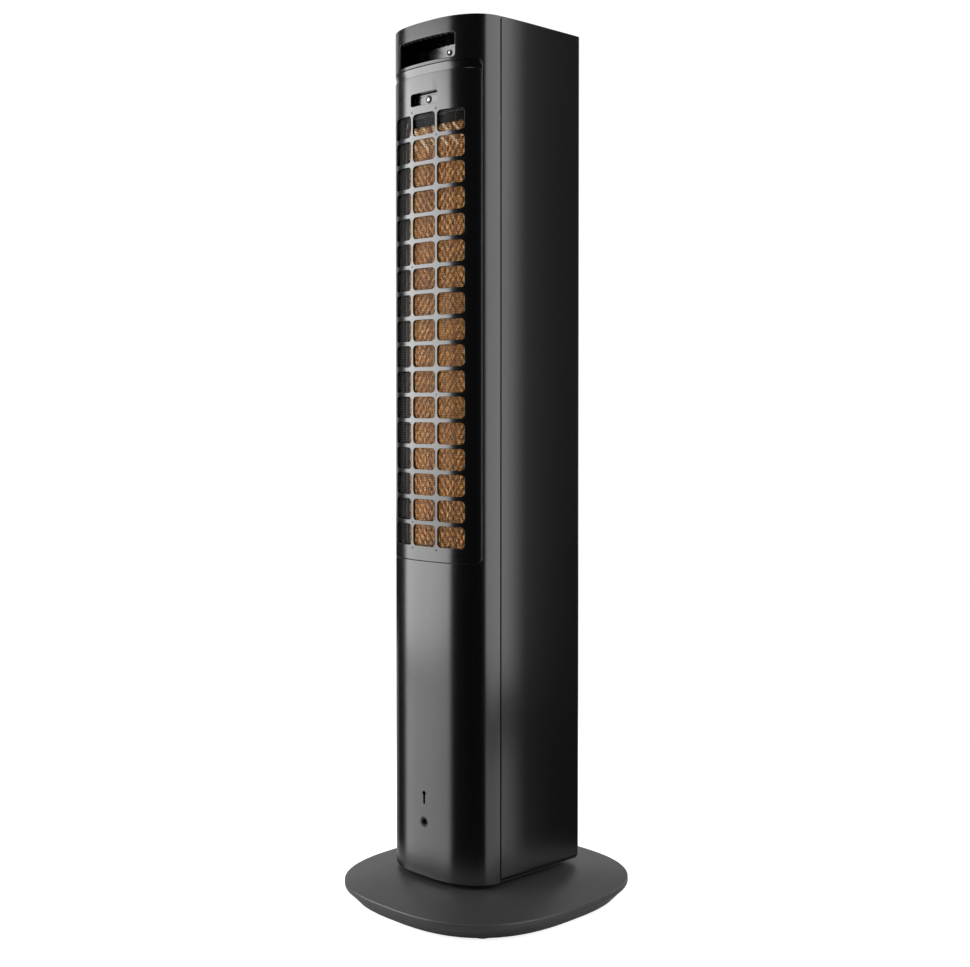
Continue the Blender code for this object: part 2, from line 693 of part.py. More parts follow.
def make_water(tower):
    z = (988.5, 997.5)
    half = TRAY_HALF_X - 2
    trough = box("water_trough", (-half, half), (58, 91), z)
    cut(trough, box("water_trough_hollow", (-half + 2, half - 2), (60, 89), (z[0] + 2, 1010)))
    cut(trough, box("water_trough_notch", (-80, -55), (70, 84), (z[0] + 2.2, 1010)))
    finish(trough, (0.05, 0.05, 0.05), 0.5, pivot=tower)

    tray = box("drip_tray", (-TRAY_HALF_X, TRAY_HALF_X), (58, 89), (436, 449))
    cut(tray, box("drip_tray_hollow", (-half, half), (60, 87), (438, 460)))
    cut(tray, rod("drip_tray_outlet", (DRAIN_X, 70), 4.0, (430, 445), sides=16))
    finish(tray, (0.05, 0.05, 0.05), 0.5, pivot=tower)

    drain = ((DRAIN_X, 70, 435.6), (DRAIN_X, 70, 415), (DRAIN_X, DRAIN_Y, 405),
             (DRAIN_X, DRAIN_Y, 380), (DRAIN_X, DRAIN_Y, 300))
    finish(hose("drain_tube", drain, 6.0, 1.2), (0.6, 0.6, 0.6), 0.4, pivot=tower)
    riser = ((PUMP_X, PUMP_Y, 300.3), (PUMP_X, PUMP_Y, 340), (PUMP_X, PUMP_Y, 400),
             (-76, 36, 425), (-76, 36, 460), (-76, 36, 940), (-76, 40, 985), (-74, 77, 995),
             (-60, 77, 995.5))
    finish(hose("riser_pipe", riser, 4.0, 1.0), (0.6, 0.6, 0.6), 0.4, pivot=tower)
    seal = turned("riser_seal", ((8, 300), (8, 291.6), (3.5, 291.6), (3.5, 300)),
                  (PUMP_X, PUMP_Y), sides=20)
    finish(seal, (0.02, 0.02, 0.02), 0.8, pivot=tower)

    board = box("power_board", (-42, 42), (74, 75.6), (190, 300))
    blocks = (((-34, -10), (75, 90), (205, 240)), ((4, 34), (75, 86), (210, 232)),
              ((-30, -18), (75, 88), (260, 288)), ((0, 16), (75, 92), (255, 285)))
    add(board, boxes("power_board_blocks", blocks))
    finish(board, (0.02, 0.12, 0.05), 0.5, pivot=tower)


# Rear panel -----------------------------------------------------------------------------------

def grille_cutters():
    """One rounded opening for each row of each column."""
    bm = bmesh.new()
    for row in range(GRILLE_ROWS):
        centre = TOP_BAR_Z + ROW_PITCH / 2 - row * ROW_PITCH
        z = (centre - ROW_OPENING / 2, centre + ROW_OPENING / 2)
        for column in COLUMNS:
            extrude_into(bm, rounded_rectangle(column, z, OPENING_CORNER, steps=1), 60, 130, True)
    return add_mesh("rear_panel_openings", bm)


def groove_cutter():
    """What lies outside a slope that leans in going down, over the panel's top edge."""
    top = PANEL_Z[1] + 2
    slab = box("rear_panel_groove", (-95, 95), (40, 130), (GROOVE_BOTTOM, top - 1))
    bm = bmesh.new()
    high_ring = extrude_into(bm, body_outline(GROOVE_DEPTH), GROOVE_BOTTOM - 1, top)
    high_ring.sort(key=lambda vert: vert.index)
    growth = HALF_WIDTH / (HALF_WIDTH - GROOVE_DEPTH - 0.6)
    bmesh.ops.translate(bm, vec=(0, -BACK_START_Y, 0), verts=high_ring)
    deeper = (BACK_DEPTH + 0.6) / (BACK_DEPTH - GROOVE_DEPTH)
    bmesh.ops.scale(bm, vec=(growth, deeper, 1), verts=high_ring)
    bmesh.ops.translate(bm, vec=(0, BACK_START_Y, 0), verts=high_ring)
    return cut(slab, add_mesh("rear_panel_slope", bm))


def make_rear_panel(tower):
    pivot = new_pivot("rear_panel_axis", (0, BACK_Y, PANEL_Z[0]), tower)
    low, high = PANEL_Z
    panel = body_wall("rear_panel", low, high)
    add(panel, body_wall("rear_panel_band", GROOVE_BOTTOM - 6, high - 0.3, 1.0, 5.0))
    trim(panel, prism("rear_panel_limit", panel_outline(), 55, 140, upright=True))
    cut(panel, groove_cutter())
    cut(panel, grille_cutters())
    pull_x = (-PULL_HALF_X, PULL_HALF_X)
    block = box("rear_panel_pull_block", (pull_x[0] - 2, pull_x[1] + 2), (PULL_BACK_Y - 2, 107.6),
                (PULL_Z[0] - 2, PULL_Z[1] + 2))
    add(panel, block)
    pull = rounded_rectangle(pull_x, PULL_Z, 3.0)
    cut(panel, prism("rear_panel_pull", pull, PULL_BACK_Y, 130, upright=True))
    cut(panel, rod("rear_panel_bore", (0, PANEL_SCREW_Z), 2.2, (90, 105), "Y", 16))
    finish(panel, pivot=pivot)
    make_screw("panel_screw", PULL_BACK_Y + GAP, PANEL_SCREW_Z, pivot)

    mesh_span = (447.0, 994.5)
    dust = body_wall("dust_filter", *mesh_span, inset=3.5, thickness=0.8)
    trim(dust, box("dust_filter_limit", (-64, 64), (60, 130), (400, 1020)))
    finish(dust, (0.05, 0.05, 0.05), 0.6, pivot=pivot)

    frame = box("pad_frame", (-PAD_HALF_X, PAD_HALF_X), PAD_Y, PAD_Z)
    cut(frame, box("pad_frame_hollow", (-PAD_HALF_X + 2, PAD_HALF_X - 2), (50, 100),
                   (PAD_Z[0] + 2, PAD_Z[1] + 10)))
    finish(frame, (0.03, 0.03, 0.03), 0.5, pivot=pivot)
    side = PAD_HALF_X - 2 - GAP
    pad = box("cooling_pad", (-side, side), (PAD_Y[0] + 1, PAD_Y[1] - 1),
              (PAD_Z[0] + 2 + GAP, PAD_Z[1] - 2 - GAP))
    finish(pad, (0.35, 0.2, 0.1), 0.9, pivot=pivot)


# Tank drawer ----------------------------------------------------------------------------------

def make_tank(tower):
    pivot = new_pivot("tank_axis", (0, TANK_Y[0], TANK_Z[0]), tower)
    half = TANK_HALF_X
    tank = box("tank", (-half, half), TANK_Y, TANK_Z)
    cut(tank, box("tank_hollow", (-half + WALL, half - WALL), (TANK_Y[0] + WALL, TANK_Y[1] - WALL),
                  (TANK_Z[0] + WALL, TANK_Z[1] + 10)))
    finish(tank, (0.5, 0.55, 0.6), 0.2, pivot=pivot)

    front = box("tank_front", (-TANK_FRONT_HALF_X, TANK_FRONT_HALF_X), (FRONT_Y, TANK_Y[0] - GAP),
                TANK_FRONT_Z)
    cut(front, box("tank_front_pull", (-28, 28), (-90, FRONT_Y + 6), (300, 318)))
    cut(front, box("tank_front_slot", (52 - GAP, 58 + GAP), (-90, -60), (90 - GAP, 280 + GAP)))
    finish(front, pivot=pivot)
    window = box("level_window", (52, 58), (FRONT_Y + 0.3, TANK_Y[0] - GAP), (90, 280))
    finish(window, (0.7, 0.75, 0.8), 0.05, pivot=pivot)
    make_pump(pivot)
    make_float(pivot)


def make_pump(tank_pivot):
    centre = (PUMP_X, PUMP_Y)
    floor = TANK_Z[0] + WALL
    base = turned("pump_cover", ((16.5, floor + 3.3), (16.5, floor + 0.8), (7, floor + 0.8),
                                 (7, floor + 3.3)), centre, sides=24)
    finish(base, (0.03, 0.03, 0.03), 0.5, pivot=tank_pivot)
    pump = rod("pump", centre, 16.5, (floor + 3.6, floor + 42), sides=24)
    cut(pump, rod("pump_room", centre, 14.0, (floor, floor + 14), sides=24))
    cut(pump, rod("pump_outlet", centre, 3.0, (floor + 10, floor + 50), sides=12))
    finish(pump, (0.03, 0.03, 0.03), 0.5, pivot=tank_pivot)
    tube = turned("pump_tube", ((5.5, 291), (5.5, floor + 42.3), (3.5, floor + 42.3), (3.5, 291)),
                  centre, sides=16)
    finish(tube, (0.6, 0.6, 0.6), 0.4, pivot=tank_pivot)

    pivot = new_pivot("pump_impeller_axis", (PUMP_X, PUMP_Y, floor), tank_pivot)
    impeller = rod("pump_impeller", centre, 11.0, (floor + 5, floor + 6.5), sides=24)
    vanes = [((PUMP_X - 10, PUMP_X + 10), (PUMP_Y - 0.8, PUMP_Y + 0.8), (floor + 6, floor + 11)),
             ((PUMP_X - 0.8, PUMP_X + 0.8), (PUMP_Y - 10, PUMP_Y + 10), (floor + 6, floor + 11))]
    for i, span in enumerate(vanes):
        add(impeller, box(f"pump_impeller_vane_{i + 1}", *span))
    finish(impeller, (0.7, 0.7, 0.68), 0.4, pivot=pivot)


def make_float(tank_pivot):
    centre = (FLOAT_X, FLOAT_Y)
    floor = TANK_Z[0] + WALL
    stem = turned("float_stem", ((0, 165), (5, 165), (5, 162), (3, 162), (3, floor + 2.3),
                                 (9, floor + 2.3), (9, floor + 0.3), (0, floor + 0.3)), centre, sides=16)
    finish(stem, (0.7, 0.7, 0.7), 0.4, pivot=tank_pivot)
    pivot = new_pivot("float_axis", (FLOAT_X, FLOAT_Y, floor), tank_pivot)
    puck = turned("float", ((10, 100), (10, 86), (3.6, 86), (3.6, 100)), centre, sides=20)
    finish(puck, (0.8, 0.8, 0.8), 0.5, pivot=pivot)


def make_cooler():
    make_base()
    make_pinion()
    tower = new_pivot("tower_axis", (0, 0, BODY_BOTTOM))
    make_swivel(tower)
    make_rear_shell(tower)
    make_front_shell(tower)
    make_bulkheads(tower)
    make_handle(tower)
    make_grommet(tower)
    make_outlet_grille(tower)
    make_top(tower)
    make_buttons(tower)
    make_scroll(tower)
    make_blower(tower)
    make_water(tower)
    make_rear_panel(tower)
    make_tank(tower)


make_cooler()
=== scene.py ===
"""Looks of an evaporative tower air cooler: moulded shells, wet pad, mesh, controls and light.

Lengths are in metres, in the same frame as the mechanical model.  Walls of the column are drawn
flat, as outlines of distance round the column and height, and are then wrapped round its plan.
"""
import bisect
import json
import math
import random

import bmesh
import bpy
from mathutils import Matrix, Vector


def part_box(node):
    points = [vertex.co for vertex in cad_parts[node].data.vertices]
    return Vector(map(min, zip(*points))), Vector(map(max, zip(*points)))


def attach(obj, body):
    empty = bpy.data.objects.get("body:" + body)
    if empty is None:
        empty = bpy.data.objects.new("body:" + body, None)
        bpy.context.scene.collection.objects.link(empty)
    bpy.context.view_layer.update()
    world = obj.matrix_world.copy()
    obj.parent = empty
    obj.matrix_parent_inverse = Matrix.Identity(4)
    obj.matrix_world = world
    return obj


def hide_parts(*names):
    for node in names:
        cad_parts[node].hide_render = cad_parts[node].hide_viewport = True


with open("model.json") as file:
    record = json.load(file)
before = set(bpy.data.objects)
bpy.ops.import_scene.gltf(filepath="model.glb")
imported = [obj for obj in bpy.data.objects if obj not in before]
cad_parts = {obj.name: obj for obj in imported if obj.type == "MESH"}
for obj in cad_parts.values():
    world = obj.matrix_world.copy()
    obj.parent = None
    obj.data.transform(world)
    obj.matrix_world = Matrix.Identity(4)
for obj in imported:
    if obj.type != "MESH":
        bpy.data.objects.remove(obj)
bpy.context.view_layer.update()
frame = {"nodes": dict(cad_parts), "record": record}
MM = 0.001

# Column plan.
shell_low, shell_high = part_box("rear_shell")
front_low, front_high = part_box("front_shell")
HALF_WIDTH = 85.84 * MM
SIDE_SWELL = 2.1 * MM
SIDE_RUN = 57.0 * MM
WIDEST = front_high[0]
SEAM_Y = shell_low[1]
BACK_Y = shell_high[1]
BACK_DEPTH = 56.45 * MM
BACK_POWER = 2.595
BACK_START_Y = BACK_Y - BACK_DEPTH
FRONT_Y = front_low[1]
FRONT_CORNER = 5.0 * MM
WALL = 2.5 * MM

# Rear panel; columns and pin holes are in millimetres.
PANEL_HALF_X = 77.2 * MM
PANEL_GAP = 0.75 * MM
PANEL_CORNER = 9.0 * MM
PANEL_TOP_CORNER = 5.5 * MM
GRILLE_DEPTH = 3.3 * MM
GROOVE_HEIGHT = 10.0 * MM
GROOVE_DEPTH = 3.0 * MM
GRILLE_ROWS = 17
ROW_PITCH = 31.63 * MM
ROW_OPENING = 26.3 * MM
TOP_BAR_Z = 960.0 * MM
COLUMNS = ((-61.3, -23.7), (-19.95, 19.95), (23.7, 61.3))
OPENING_CORNER = 5.5 * MM
PULL_HALF_X = 24.0 * MM
PULL_Z = (999.3 * MM, 1014.3 * MM)
PULL_BACK_Y = 100.3 * MM
PIN_R = 0.85 * MM
PIN_X = 21.8
PIN_HOLES = ((-PIN_X, 992.0), (PIN_X, 992.0), (-PIN_X, 453.0), (PIN_X, 453.0), (39.5, 997.0))

# Handle pocket and lower back.
HANDLE_HALF_X = 49.7 * MM
HANDLE_Z = (1050.8 * MM, 1080.6 * MM)
HANDLE_BACK_Y = 64.8 * MM
HANDLE_SCREW_Z = 1071.0 * MM
HANDLE_LEAN = 0.08
PANEL_SCREW_Z = 1006.9 * MM
GRIP_RIBS = 11
GRIP_PITCH = 8.6 * MM
HOOK_Z = 149.8 * MM
HOOK_R = 2.8 * MM
HOOK_SLOT_HALF = 1.4 * MM
HOOK_SLOT_LOW = 136.3 * MM
CORD_Z = 114.0 * MM
CORD_HOLE_R = 6.3 * MM

# Outlet.
OUTLET_BARS = 9
OUTLET_RIBS = 4

# Controls and tank.
KEY_HOLE_R = 7.4 * MM
TANK_PULL_HALF_X = 28.0 * MM
TANK_PULL_Z = (300.0 * MM, 318.0 * MM)

# Base.
base_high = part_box("base_cover")[1]
BASE_POWER = 2.64


# Shader arithmetic.

class Value:
    """A number that varies over a surface; arithmetic on it adds Math nodes."""

    def __init__(self, finish, socket):
        self.finish = finish
        self.socket = socket

    def maths(self, operation, first, second=0.0):
        return self.finish.maths(operation, first, second)

    def __add__(self, other):
        return self.maths("ADD", self, other)

    __radd__ = __add__

    def __sub__(self, other):
        return self.maths("SUBTRACT", self, other)

    def __mul__(self, other):
        return self.maths("MULTIPLY", self, other)


class Finish:
    """One material, and the few ways in which its nodes are added."""

    def __init__(self, name, colour, roughness, **settings):
        self.material = bpy.data.materials.new(name)
        self.material.use_nodes = True
        self.tree = self.material.node_tree
        self.shader = self.tree.nodes["Principled BSDF"]
        self.set("Base Color", (*colour, 1.0))
        self.set("Roughness", roughness)
        for key, value in settings.items():
            self.set(key.replace("_", " ").title().replace("Ior", "IOR"), value)

    def set(self, socket, value):
        self.feed(self.shader.inputs[socket], value)

    def feed(self, socket, value):
        if isinstance(value, Value):
            self.tree.links.new(value.socket, socket)
        else:
            socket.default_value = value

    def node(self, kind, settings=None, inputs=None, output=0):
        made = self.tree.nodes.new("ShaderNode" + kind)
        for key, value in (settings or {}).items():
            if key == "stops":
                self.set_stops(made.color_ramp, value)
            else:
                setattr(made, key, value)
        for key, value in (inputs or {}).items():
            self.feed(made.inputs[key], value)
        return Value(self, made.outputs[output])

    def maths(self, operation, first, second=0.0):
        return self.node("Math", {"operation": operation}, {0: first, 1: second})

    def set_stops(self, ramp, stops):
        while len(ramp.elements) < len(stops):
            ramp.elements.new(1.0)
        for element, (place, grey) in zip(ramp.elements, stops):
            element.position = place
            element.color = (grey, grey, grey, 1.0)

    def place(self, stretch=(1.0, 1.0, 1.0)):
        at = self.node("TexCoord", output="Object")
        return self.node("Mapping", None, {"Vector": at, "Scale": stretch})

    def noise(self, scale, detail=2.0, stretch=(1.0, 1.0, 1.0), contrast=None):
        value = self.node("TexNoise", None, {"Vector": self.place(stretch), "Scale": scale,
                                             "Detail": detail})
        if contrast:
            value = self.node("ValToRGB", {"stops": ((contrast[0], 0.0), (contrast[1], 1.0))},
                              {"Fac": value})
        return value

    def mix(self, share, first, second):
        colours = {6: (*first, 1.0) if isinstance(first, tuple) else first,
                   7: (*second, 1.0) if isinstance(second, tuple) else second}
        return self.node("Mix", {"data_type": "RGBA"}, {0: share, **colours}, output=2)

    def bump(self, height, distance, strength=1.0):
        normal = self.node("Bump", None, {"Height": height, "Distance": distance,
                                          "Strength": strength})
        self.set("Normal", normal)


def lighter(colour, times):
    return tuple(min(1.0, part * times) for part in colour)


def moulded_plastic(name, colour, roughness, grain=0.006 * MM, handling=0.012, gloss=0.5):
    """Injection-moulded plastic: fine spark-eroded grain, faint handling marks and dust."""
    finish = Finish(name, colour, roughness, ior=1.5, specular_ior_level=gloss)
    fine = finish.noise(2300.0, 3.0)
    cloud = finish.noise(9.0, 3.0, (1.0, 1.0, 0.3))
    dust = finish.noise(700.0, 1.0, contrast=(0.74, 0.8))
    tone = finish.mix(cloud, colour, lighter(colour, 1.3))
    finish.set("Base Color", finish.mix(dust * 0.2, tone, lighter(colour, 8.0)))
    finish.set("Roughness", roughness + (cloud - 0.5) * handling + (fine - 0.5) * 0.03 + dust * 0.08)
    finish.bump(fine, grain)
    return finish.material


def cellulose_paper_painted_light():
    """Resin-stiffened paper: painted pale over its front 4.5 mm as a painted highlight where light catches
    the flutes' edges, and left dark in its depth as painted shade.
    """
    finish = Finish("cellulose_paper_painted_light", (0.30, 0.155, 0.066), 0.88)
    back = finish.node("SeparateXYZ", None, {"Vector": finish.place()}, output="Y")
    fibre = finish.noise(650.0, 5.0, (1.0, 1.0, 0.3))
    stain = finish.noise(24.0, 4.0, contrast=(0.3, 0.75))
    # Painted light: a mask over the front 4.5 mm of the pad, where light falls on the flutes' edges.
    edge = ramp(finish, back, pad_high[1] - 4.5 * MM, pad_high[1])
    tone = finish.mix(stain, (0.40, 0.155, 0.034), (0.24, 0.084, 0.016))
    tone = finish.mix(fibre * 0.5, tone, (0.56, 0.26, 0.068))
    # Painted highlight: a pale colour mixed in over the pad's front, darker deeper in as painted shade.
    finish.set("Base Color", finish.mix(edge * 0.85, tone, (0.98, 0.56, 0.19)))
    finish.set("Roughness", 0.8 + fibre * 0.18)
    finish.bump(fibre, 0.08 * MM)
    return finish.material


def dried_resin():
    """Cream strips where the pad's resin has dried pale."""
    colour = (1.0, 0.80, 0.52)
    finish = Finish("dried_resin", colour, 0.7)
    fibre = finish.noise(650.0, 4.0)
    finish.set("Base Color", finish.mix(fibre * 0.6, colour, (0.78, 0.50, 0.22)))
    finish.set("Roughness", 0.6 + fibre * 0.3)
    finish.bump(fibre, 0.1 * MM)
    return finish.material


def ramp(finish, value, start, end):
    """0 up to one value, 1 beyond the other, smooth between."""
    return finish.node("MapRange", {"interpolation_type": "SMOOTHSTEP"},
                       {"Value": value, "From Min": start, "From Max": end})


def flecked(name, first, second, scale, detail, stretch=(1.0, 1.0, 1.0), **settings):
    """A finish whose tone runs from one colour to another with one fine noise."""
    finish = Finish(name, first, 0.5, **settings)
    fleck = finish.noise(scale, detail, stretch)
    finish.set("Base Color", finish.mix(fleck, first, second))
    return finish, fleck


def mesh_thread():
    colour = (0.0055, 0.0052, 0.005)
    finish, twist = flecked("mesh_thread", colour, lighter(colour, 2.0), 1800.0, 2.0,
                            (0.3, 1.0, 1.0), specular_ior_level=0.3)
    finish.set("Roughness", 0.42 + twist * 0.2)
    finish.bump(twist, 0.02 * MM)
    return finish.material


def plated_metal(name, colour, roughness, brushed=(1.0, 1.0, 1.0)):
    """Plated or turned metal with fine drawn marks and a few dull spots."""
    finish = Finish(name, colour, roughness, metallic=1.0)
    marks = finish.noise(1500.0, 3.0, brushed)
    dull = finish.noise(60.0, 3.0, contrast=(0.5, 0.8))
    finish.set("Base Color", finish.mix(dull * 0.5, colour, lighter(colour, 0.6)))
    finish.set("Roughness", roughness + (marks - 0.5) * 0.12 + dull * 0.15)
    finish.bump(marks, 0.01 * MM)
    return finish.material


def soft_rubber():
    colour = (0.016, 0.016, 0.016)
    finish = Finish("soft_rubber", colour, 0.75)
    fine = finish.noise(900.0, 4.0)
    bloom = finish.noise(45.0, 3.0, contrast=(0.4, 0.8))
    finish.set("Base Color", finish.mix(bloom * 0.5, colour, (0.05, 0.05, 0.048)))
    finish.set("Roughness", 0.7 + fine * 0.2)
    finish.bump(fine, 0.04 * MM)
    return finish.material


def bead_foam():
    """Moulded bead foam: polygon beads that meet in fine creases, which are painted darker as painted
    shade.
    """
    colour = (0.045, 0.045, 0.047)
    finish = Finish("bead_foam", colour, 0.9)
    edge = finish.node("TexVoronoi", {"feature": "DISTANCE_TO_EDGE"},
                       {"Vector": finish.place(), "Scale": 260.0})
    crease = finish.node("ValToRGB", {"stops": ((0.0, 0.0), (0.12, 1.0))}, {"Fac": edge})
    cell = finish.node("TexVoronoi", None, {"Vector": finish.place(), "Scale": 260.0})
    tone = finish.mix(cell * 0.5, colour, (0.07, 0.07, 0.072))
    # Painted shade: the creases between beads are coloured darker than the beads themselves.
    finish.set("Base Color", finish.mix(crease, (0.02, 0.02, 0.02), tone))
    finish.set("Roughness", 0.82 + crease * 0.1)
    finish.bump(crease, 0.15 * MM)
    return finish.material


def circuit_laminate():
    colour = (0.01, 0.07, 0.03)
    finish = Finish("circuit_laminate", colour, 0.35)
    weave = finish.node("TexWave", None, {"Vector": finish.place(), "Scale": 400.0})
    track = finish.node("TexBrick", {"offset": 0.5},
                        {"Vector": finish.place(), "Scale": 90.0, "Mortar Size": 0.03})
    finish.set("Base Color", finish.mix(track, colour, (0.03, 0.16, 0.07)))
    finish.set("Roughness", 0.3 + weave * 0.1)
    finish.bump(track, 0.03 * MM)
    return finish.material


def milky_plastic(name, colour, alpha, roughness=0.25):
    """Thin tank and hose plastic, seen through as a haze."""
    finish = Finish(name, colour, roughness, alpha=alpha)
    flow = finish.noise(30.0, 4.0)
    fine = finish.noise(1600.0, 2.0)
    finish.set("Base Color", finish.mix(flow, colour, lighter(colour, 1.25)))
    finish.set("Roughness", roughness + flow * 0.1)
    finish.bump(fine, 0.01 * MM)
    return finish.material


def smoked_lens():
    finish = Finish("smoked_lens", (0.006, 0.006, 0.008), 0.06, ior=1.5, coat_weight=0.5)
    smear = finish.noise(18.0, 4.0, contrast=(0.4, 0.75))
    finish.set("Roughness", 0.05 + smear * 0.08)
    return finish.material


def printed_mark():
    return flecked("printed_mark", (0.45, 0.46, 0.47), (0.65, 0.66, 0.67), 1400.0, 3.0)[0].material


pad_low, pad_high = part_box("cooling_pad")
BLACK = (0.0011, 0.0011, 0.0012)
SATIN_BLACK = (0.022, 0.022, 0.0225)
MATERIALS = {
    "body_plastic": moulded_plastic("body_plastic", BLACK, 0.2),
    "base_plastic": moulded_plastic("base_plastic", SATIN_BLACK, 0.42, 0.02 * MM, gloss=0.4),
    "inner_plastic": moulded_plastic("inner_plastic", (0.008, 0.008, 0.008), 0.5, 0.03 * MM),
    "pale_plastic": moulded_plastic("pale_plastic", (0.62, 0.61, 0.57), 0.4),
    "clear_plastic": milky_plastic("clear_plastic", (0.45, 0.50, 0.55), 0.55),
    "hose_plastic": milky_plastic("hose_plastic", (0.62, 0.63, 0.62), 0.75, 0.35),
    "dark_lens": smoked_lens(),
    "rubber": soft_rubber(),
    "steel": plated_metal("steel", (0.52, 0.52, 0.54), 0.38, (1.0, 1.0, 0.05)),
    "screw_steel": plated_metal("screw_steel", (0.56, 0.55, 0.53), 0.34),
    "bronze": plated_metal("bronze", (0.48, 0.32, 0.14), 0.4),
    "circuit_board": circuit_laminate(),
    "foam": bead_foam(),
    "cellulose": cellulose_paper_painted_light(),
    "mesh": mesh_thread(),
}
MARK = printed_mark()
DECK = moulded_plastic("deck_plastic", (0.008, 0.008, 0.0082), 0.45, 0.02 * MM, gloss=0.4)
RESIN = dried_resin()
SLOT_OF = {part["node"]: part["material_slot"] for part in frame["record"]["subparts"]}


def dress_nodes():
    for node, slot in SLOT_OF.items():
        mesh = frame["nodes"][node].data
        mesh.materials.clear()
        mesh.materials.append(MATERIALS[slot])


# The column's plan.

def plan_table():
    """Rows of distance, x, y and outward normal, from the middle of the back to that of the front."""
    rows = []
    steps = 600
    power = BACK_POWER
    for i in range(steps):
        angle = math.pi / 2 * (1 - i / steps)
        cosine = max(math.cos(angle), 0.0)
        x = HALF_WIDTH * cosine ** (2 / power)
        y = BACK_START_Y + BACK_DEPTH * math.sin(angle) ** (2 / power)
        if y < SEAM_Y:
            break
        slope = Vector(((x / HALF_WIDTH) ** (power - 1) / HALF_WIDTH,
                        ((y - BACK_START_Y) / BACK_DEPTH) ** (power - 1) / BACK_DEPTH)).normalized()
        rows.append((x, y, slope.x, slope.y))
    for i in range(25):
        left = 1 - i / 24
        lean = Vector((SIDE_RUN, 2 * SIDE_SWELL * left)).normalized()
        rows.append((WIDEST - SIDE_SWELL * left ** 2, SEAM_Y - SIDE_RUN * (1 - left), *lean))
    centre_y = FRONT_Y + FRONT_CORNER
    for i in range(13):
        angle = -math.pi / 2 * i / 12
        rows.append((WIDEST - FRONT_CORNER + FRONT_CORNER * math.cos(angle),
                     centre_y + FRONT_CORNER * math.sin(angle), math.cos(angle), math.sin(angle)))
    rows.append((0.0, FRONT_Y, 0.0, -1.0))
    table = []
    travelled = 0.0
    for i, row in enumerate(rows):
        if i:
            travelled += math.dist(row[:2], rows[i - 1][:2])
        table.append((travelled, *row))
    return table


PLAN = plan_table()
PLAN_STOPS = [row[0] for row in PLAN]
HALF_ROUND = PLAN_STOPS[-1]


def on_plan(distance):
    side = 1.0
    if distance > HALF_ROUND:
        distance = 2 * HALF_ROUND - distance
        side = -1.0
    if distance < 0:
        distance = -distance
        side = -1.0
    i = min(max(bisect.bisect(PLAN_STOPS, distance), 1), len(PLAN) - 1)
    before, after = PLAN[i - 1], PLAN[i]
    share = (distance - before[0]) / max(after[0] - before[0], 1e-12)
    x, y, nx, ny = (a + (b - a) * share for a, b in zip(before[1:], after[1:]))
    return x * side, y, nx * side, ny


def distance_at_x(x):
    """Distance round the back at which the column reaches this x."""
    for before, after in zip(PLAN, PLAN[1:]):
        if after[1] >= abs(x):
            share = (abs(x) - before[1]) / (after[1] - before[1])
            return math.copysign(before[0] + (after[0] - before[0]) * share, x)
    return math.copysign(before[0], x)


def distance_at_y(y):
    """Distance at which the +X side reaches this y."""
    for before, after in zip(PLAN, PLAN[1:]):
        if after[2] <= y:
            share = (before[2] - y) / (before[2] - after[2])
            return before[0] + (after[0] - before[0]) * share
    return HALF_ROUND


def wall_point(distance, height, depth):
    x, y, nx, ny = on_plan(distance)
    return Vector((x - nx * depth, y - ny * depth, height))


# Shapes.

FLAT_CREASE = 12.0
ROUND_CREASE = 40.0
RAGGED_CREASE = 60.0


def finish_piece(obj, body, slot, replaced=(), crease=30.0, look=None):
    """Gives a piece its body, and its slot's material unless it has a look of its own.

    Edges sharper than the crease, in degrees, stay sharp.
    """
    obj.data.materials.clear()
    obj.data.materials.append(look or MATERIALS[slot])
    if isinstance(obj.data, bpy.types.Mesh):
        obj.data.shade_smooth()
        obj.data.set_sharp_from_angle(angle=math.radians(crease))
    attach(obj, body)
    if replaced:
        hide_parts(*replaced)
    return obj


def linked(name, data):
    obj = bpy.data.objects.new(name, data)
    bpy.context.scene.collection.objects.link(obj)
    return obj


def linked_mesh(name, bm):
    mesh = bpy.data.meshes.new(name)
    bm.to_mesh(mesh)
    bm.free()
    return linked(name, mesh)


def object_from(name, bm):
    bmesh.ops.recalc_face_normals(bm, faces=bm.faces)
    return linked_mesh(name, bm)


def baked(obj):
    """Applies an object's modifiers."""
    bpy.context.view_layer.update()
    seen = obj.evaluated_get(bpy.context.evaluated_depsgraph_get())
    mesh = bpy.data.meshes.new_from_object(seen)
    obj.modifiers.clear()
    obj.data = mesh
    return obj


def arc(centre, radius, start, end, steps):
    points = []
    for i in range(steps + 1):
        angle = math.radians(start + (end - start) * i / steps)
        points.append((centre[0] + radius * math.cos(angle), centre[1] + radius * math.sin(angle)))
    return points


def rounded(x, z, corner, steps=6, upper=None):
    """A rounded rectangle, anticlockwise from its upper right corner; upper corners may differ."""
    upper = corner if upper is None else upper
    points = []
    for side_x, side_z, radius, start in ((1, 1, upper, 0), (0, 1, upper, 90), (0, 0, corner, 180),
                                          (1, 0, corner, 270)):
        centre = (x[1] - radius if side_x else x[0] + radius,
                  z[1] - radius if side_z else z[0] + radius)
        points += arc(centre, radius, start, start + 90, steps)
    return points


def outline_of(box, corner, grow=0.0, up=2):
    """The rounded outline of a box seen along Y (up is 2) or from above (up is 1)."""
    low, high = box
    return rounded((low[0] - grow, high[0] + grow), (low[up] - grow, high[up] + grow), corner)


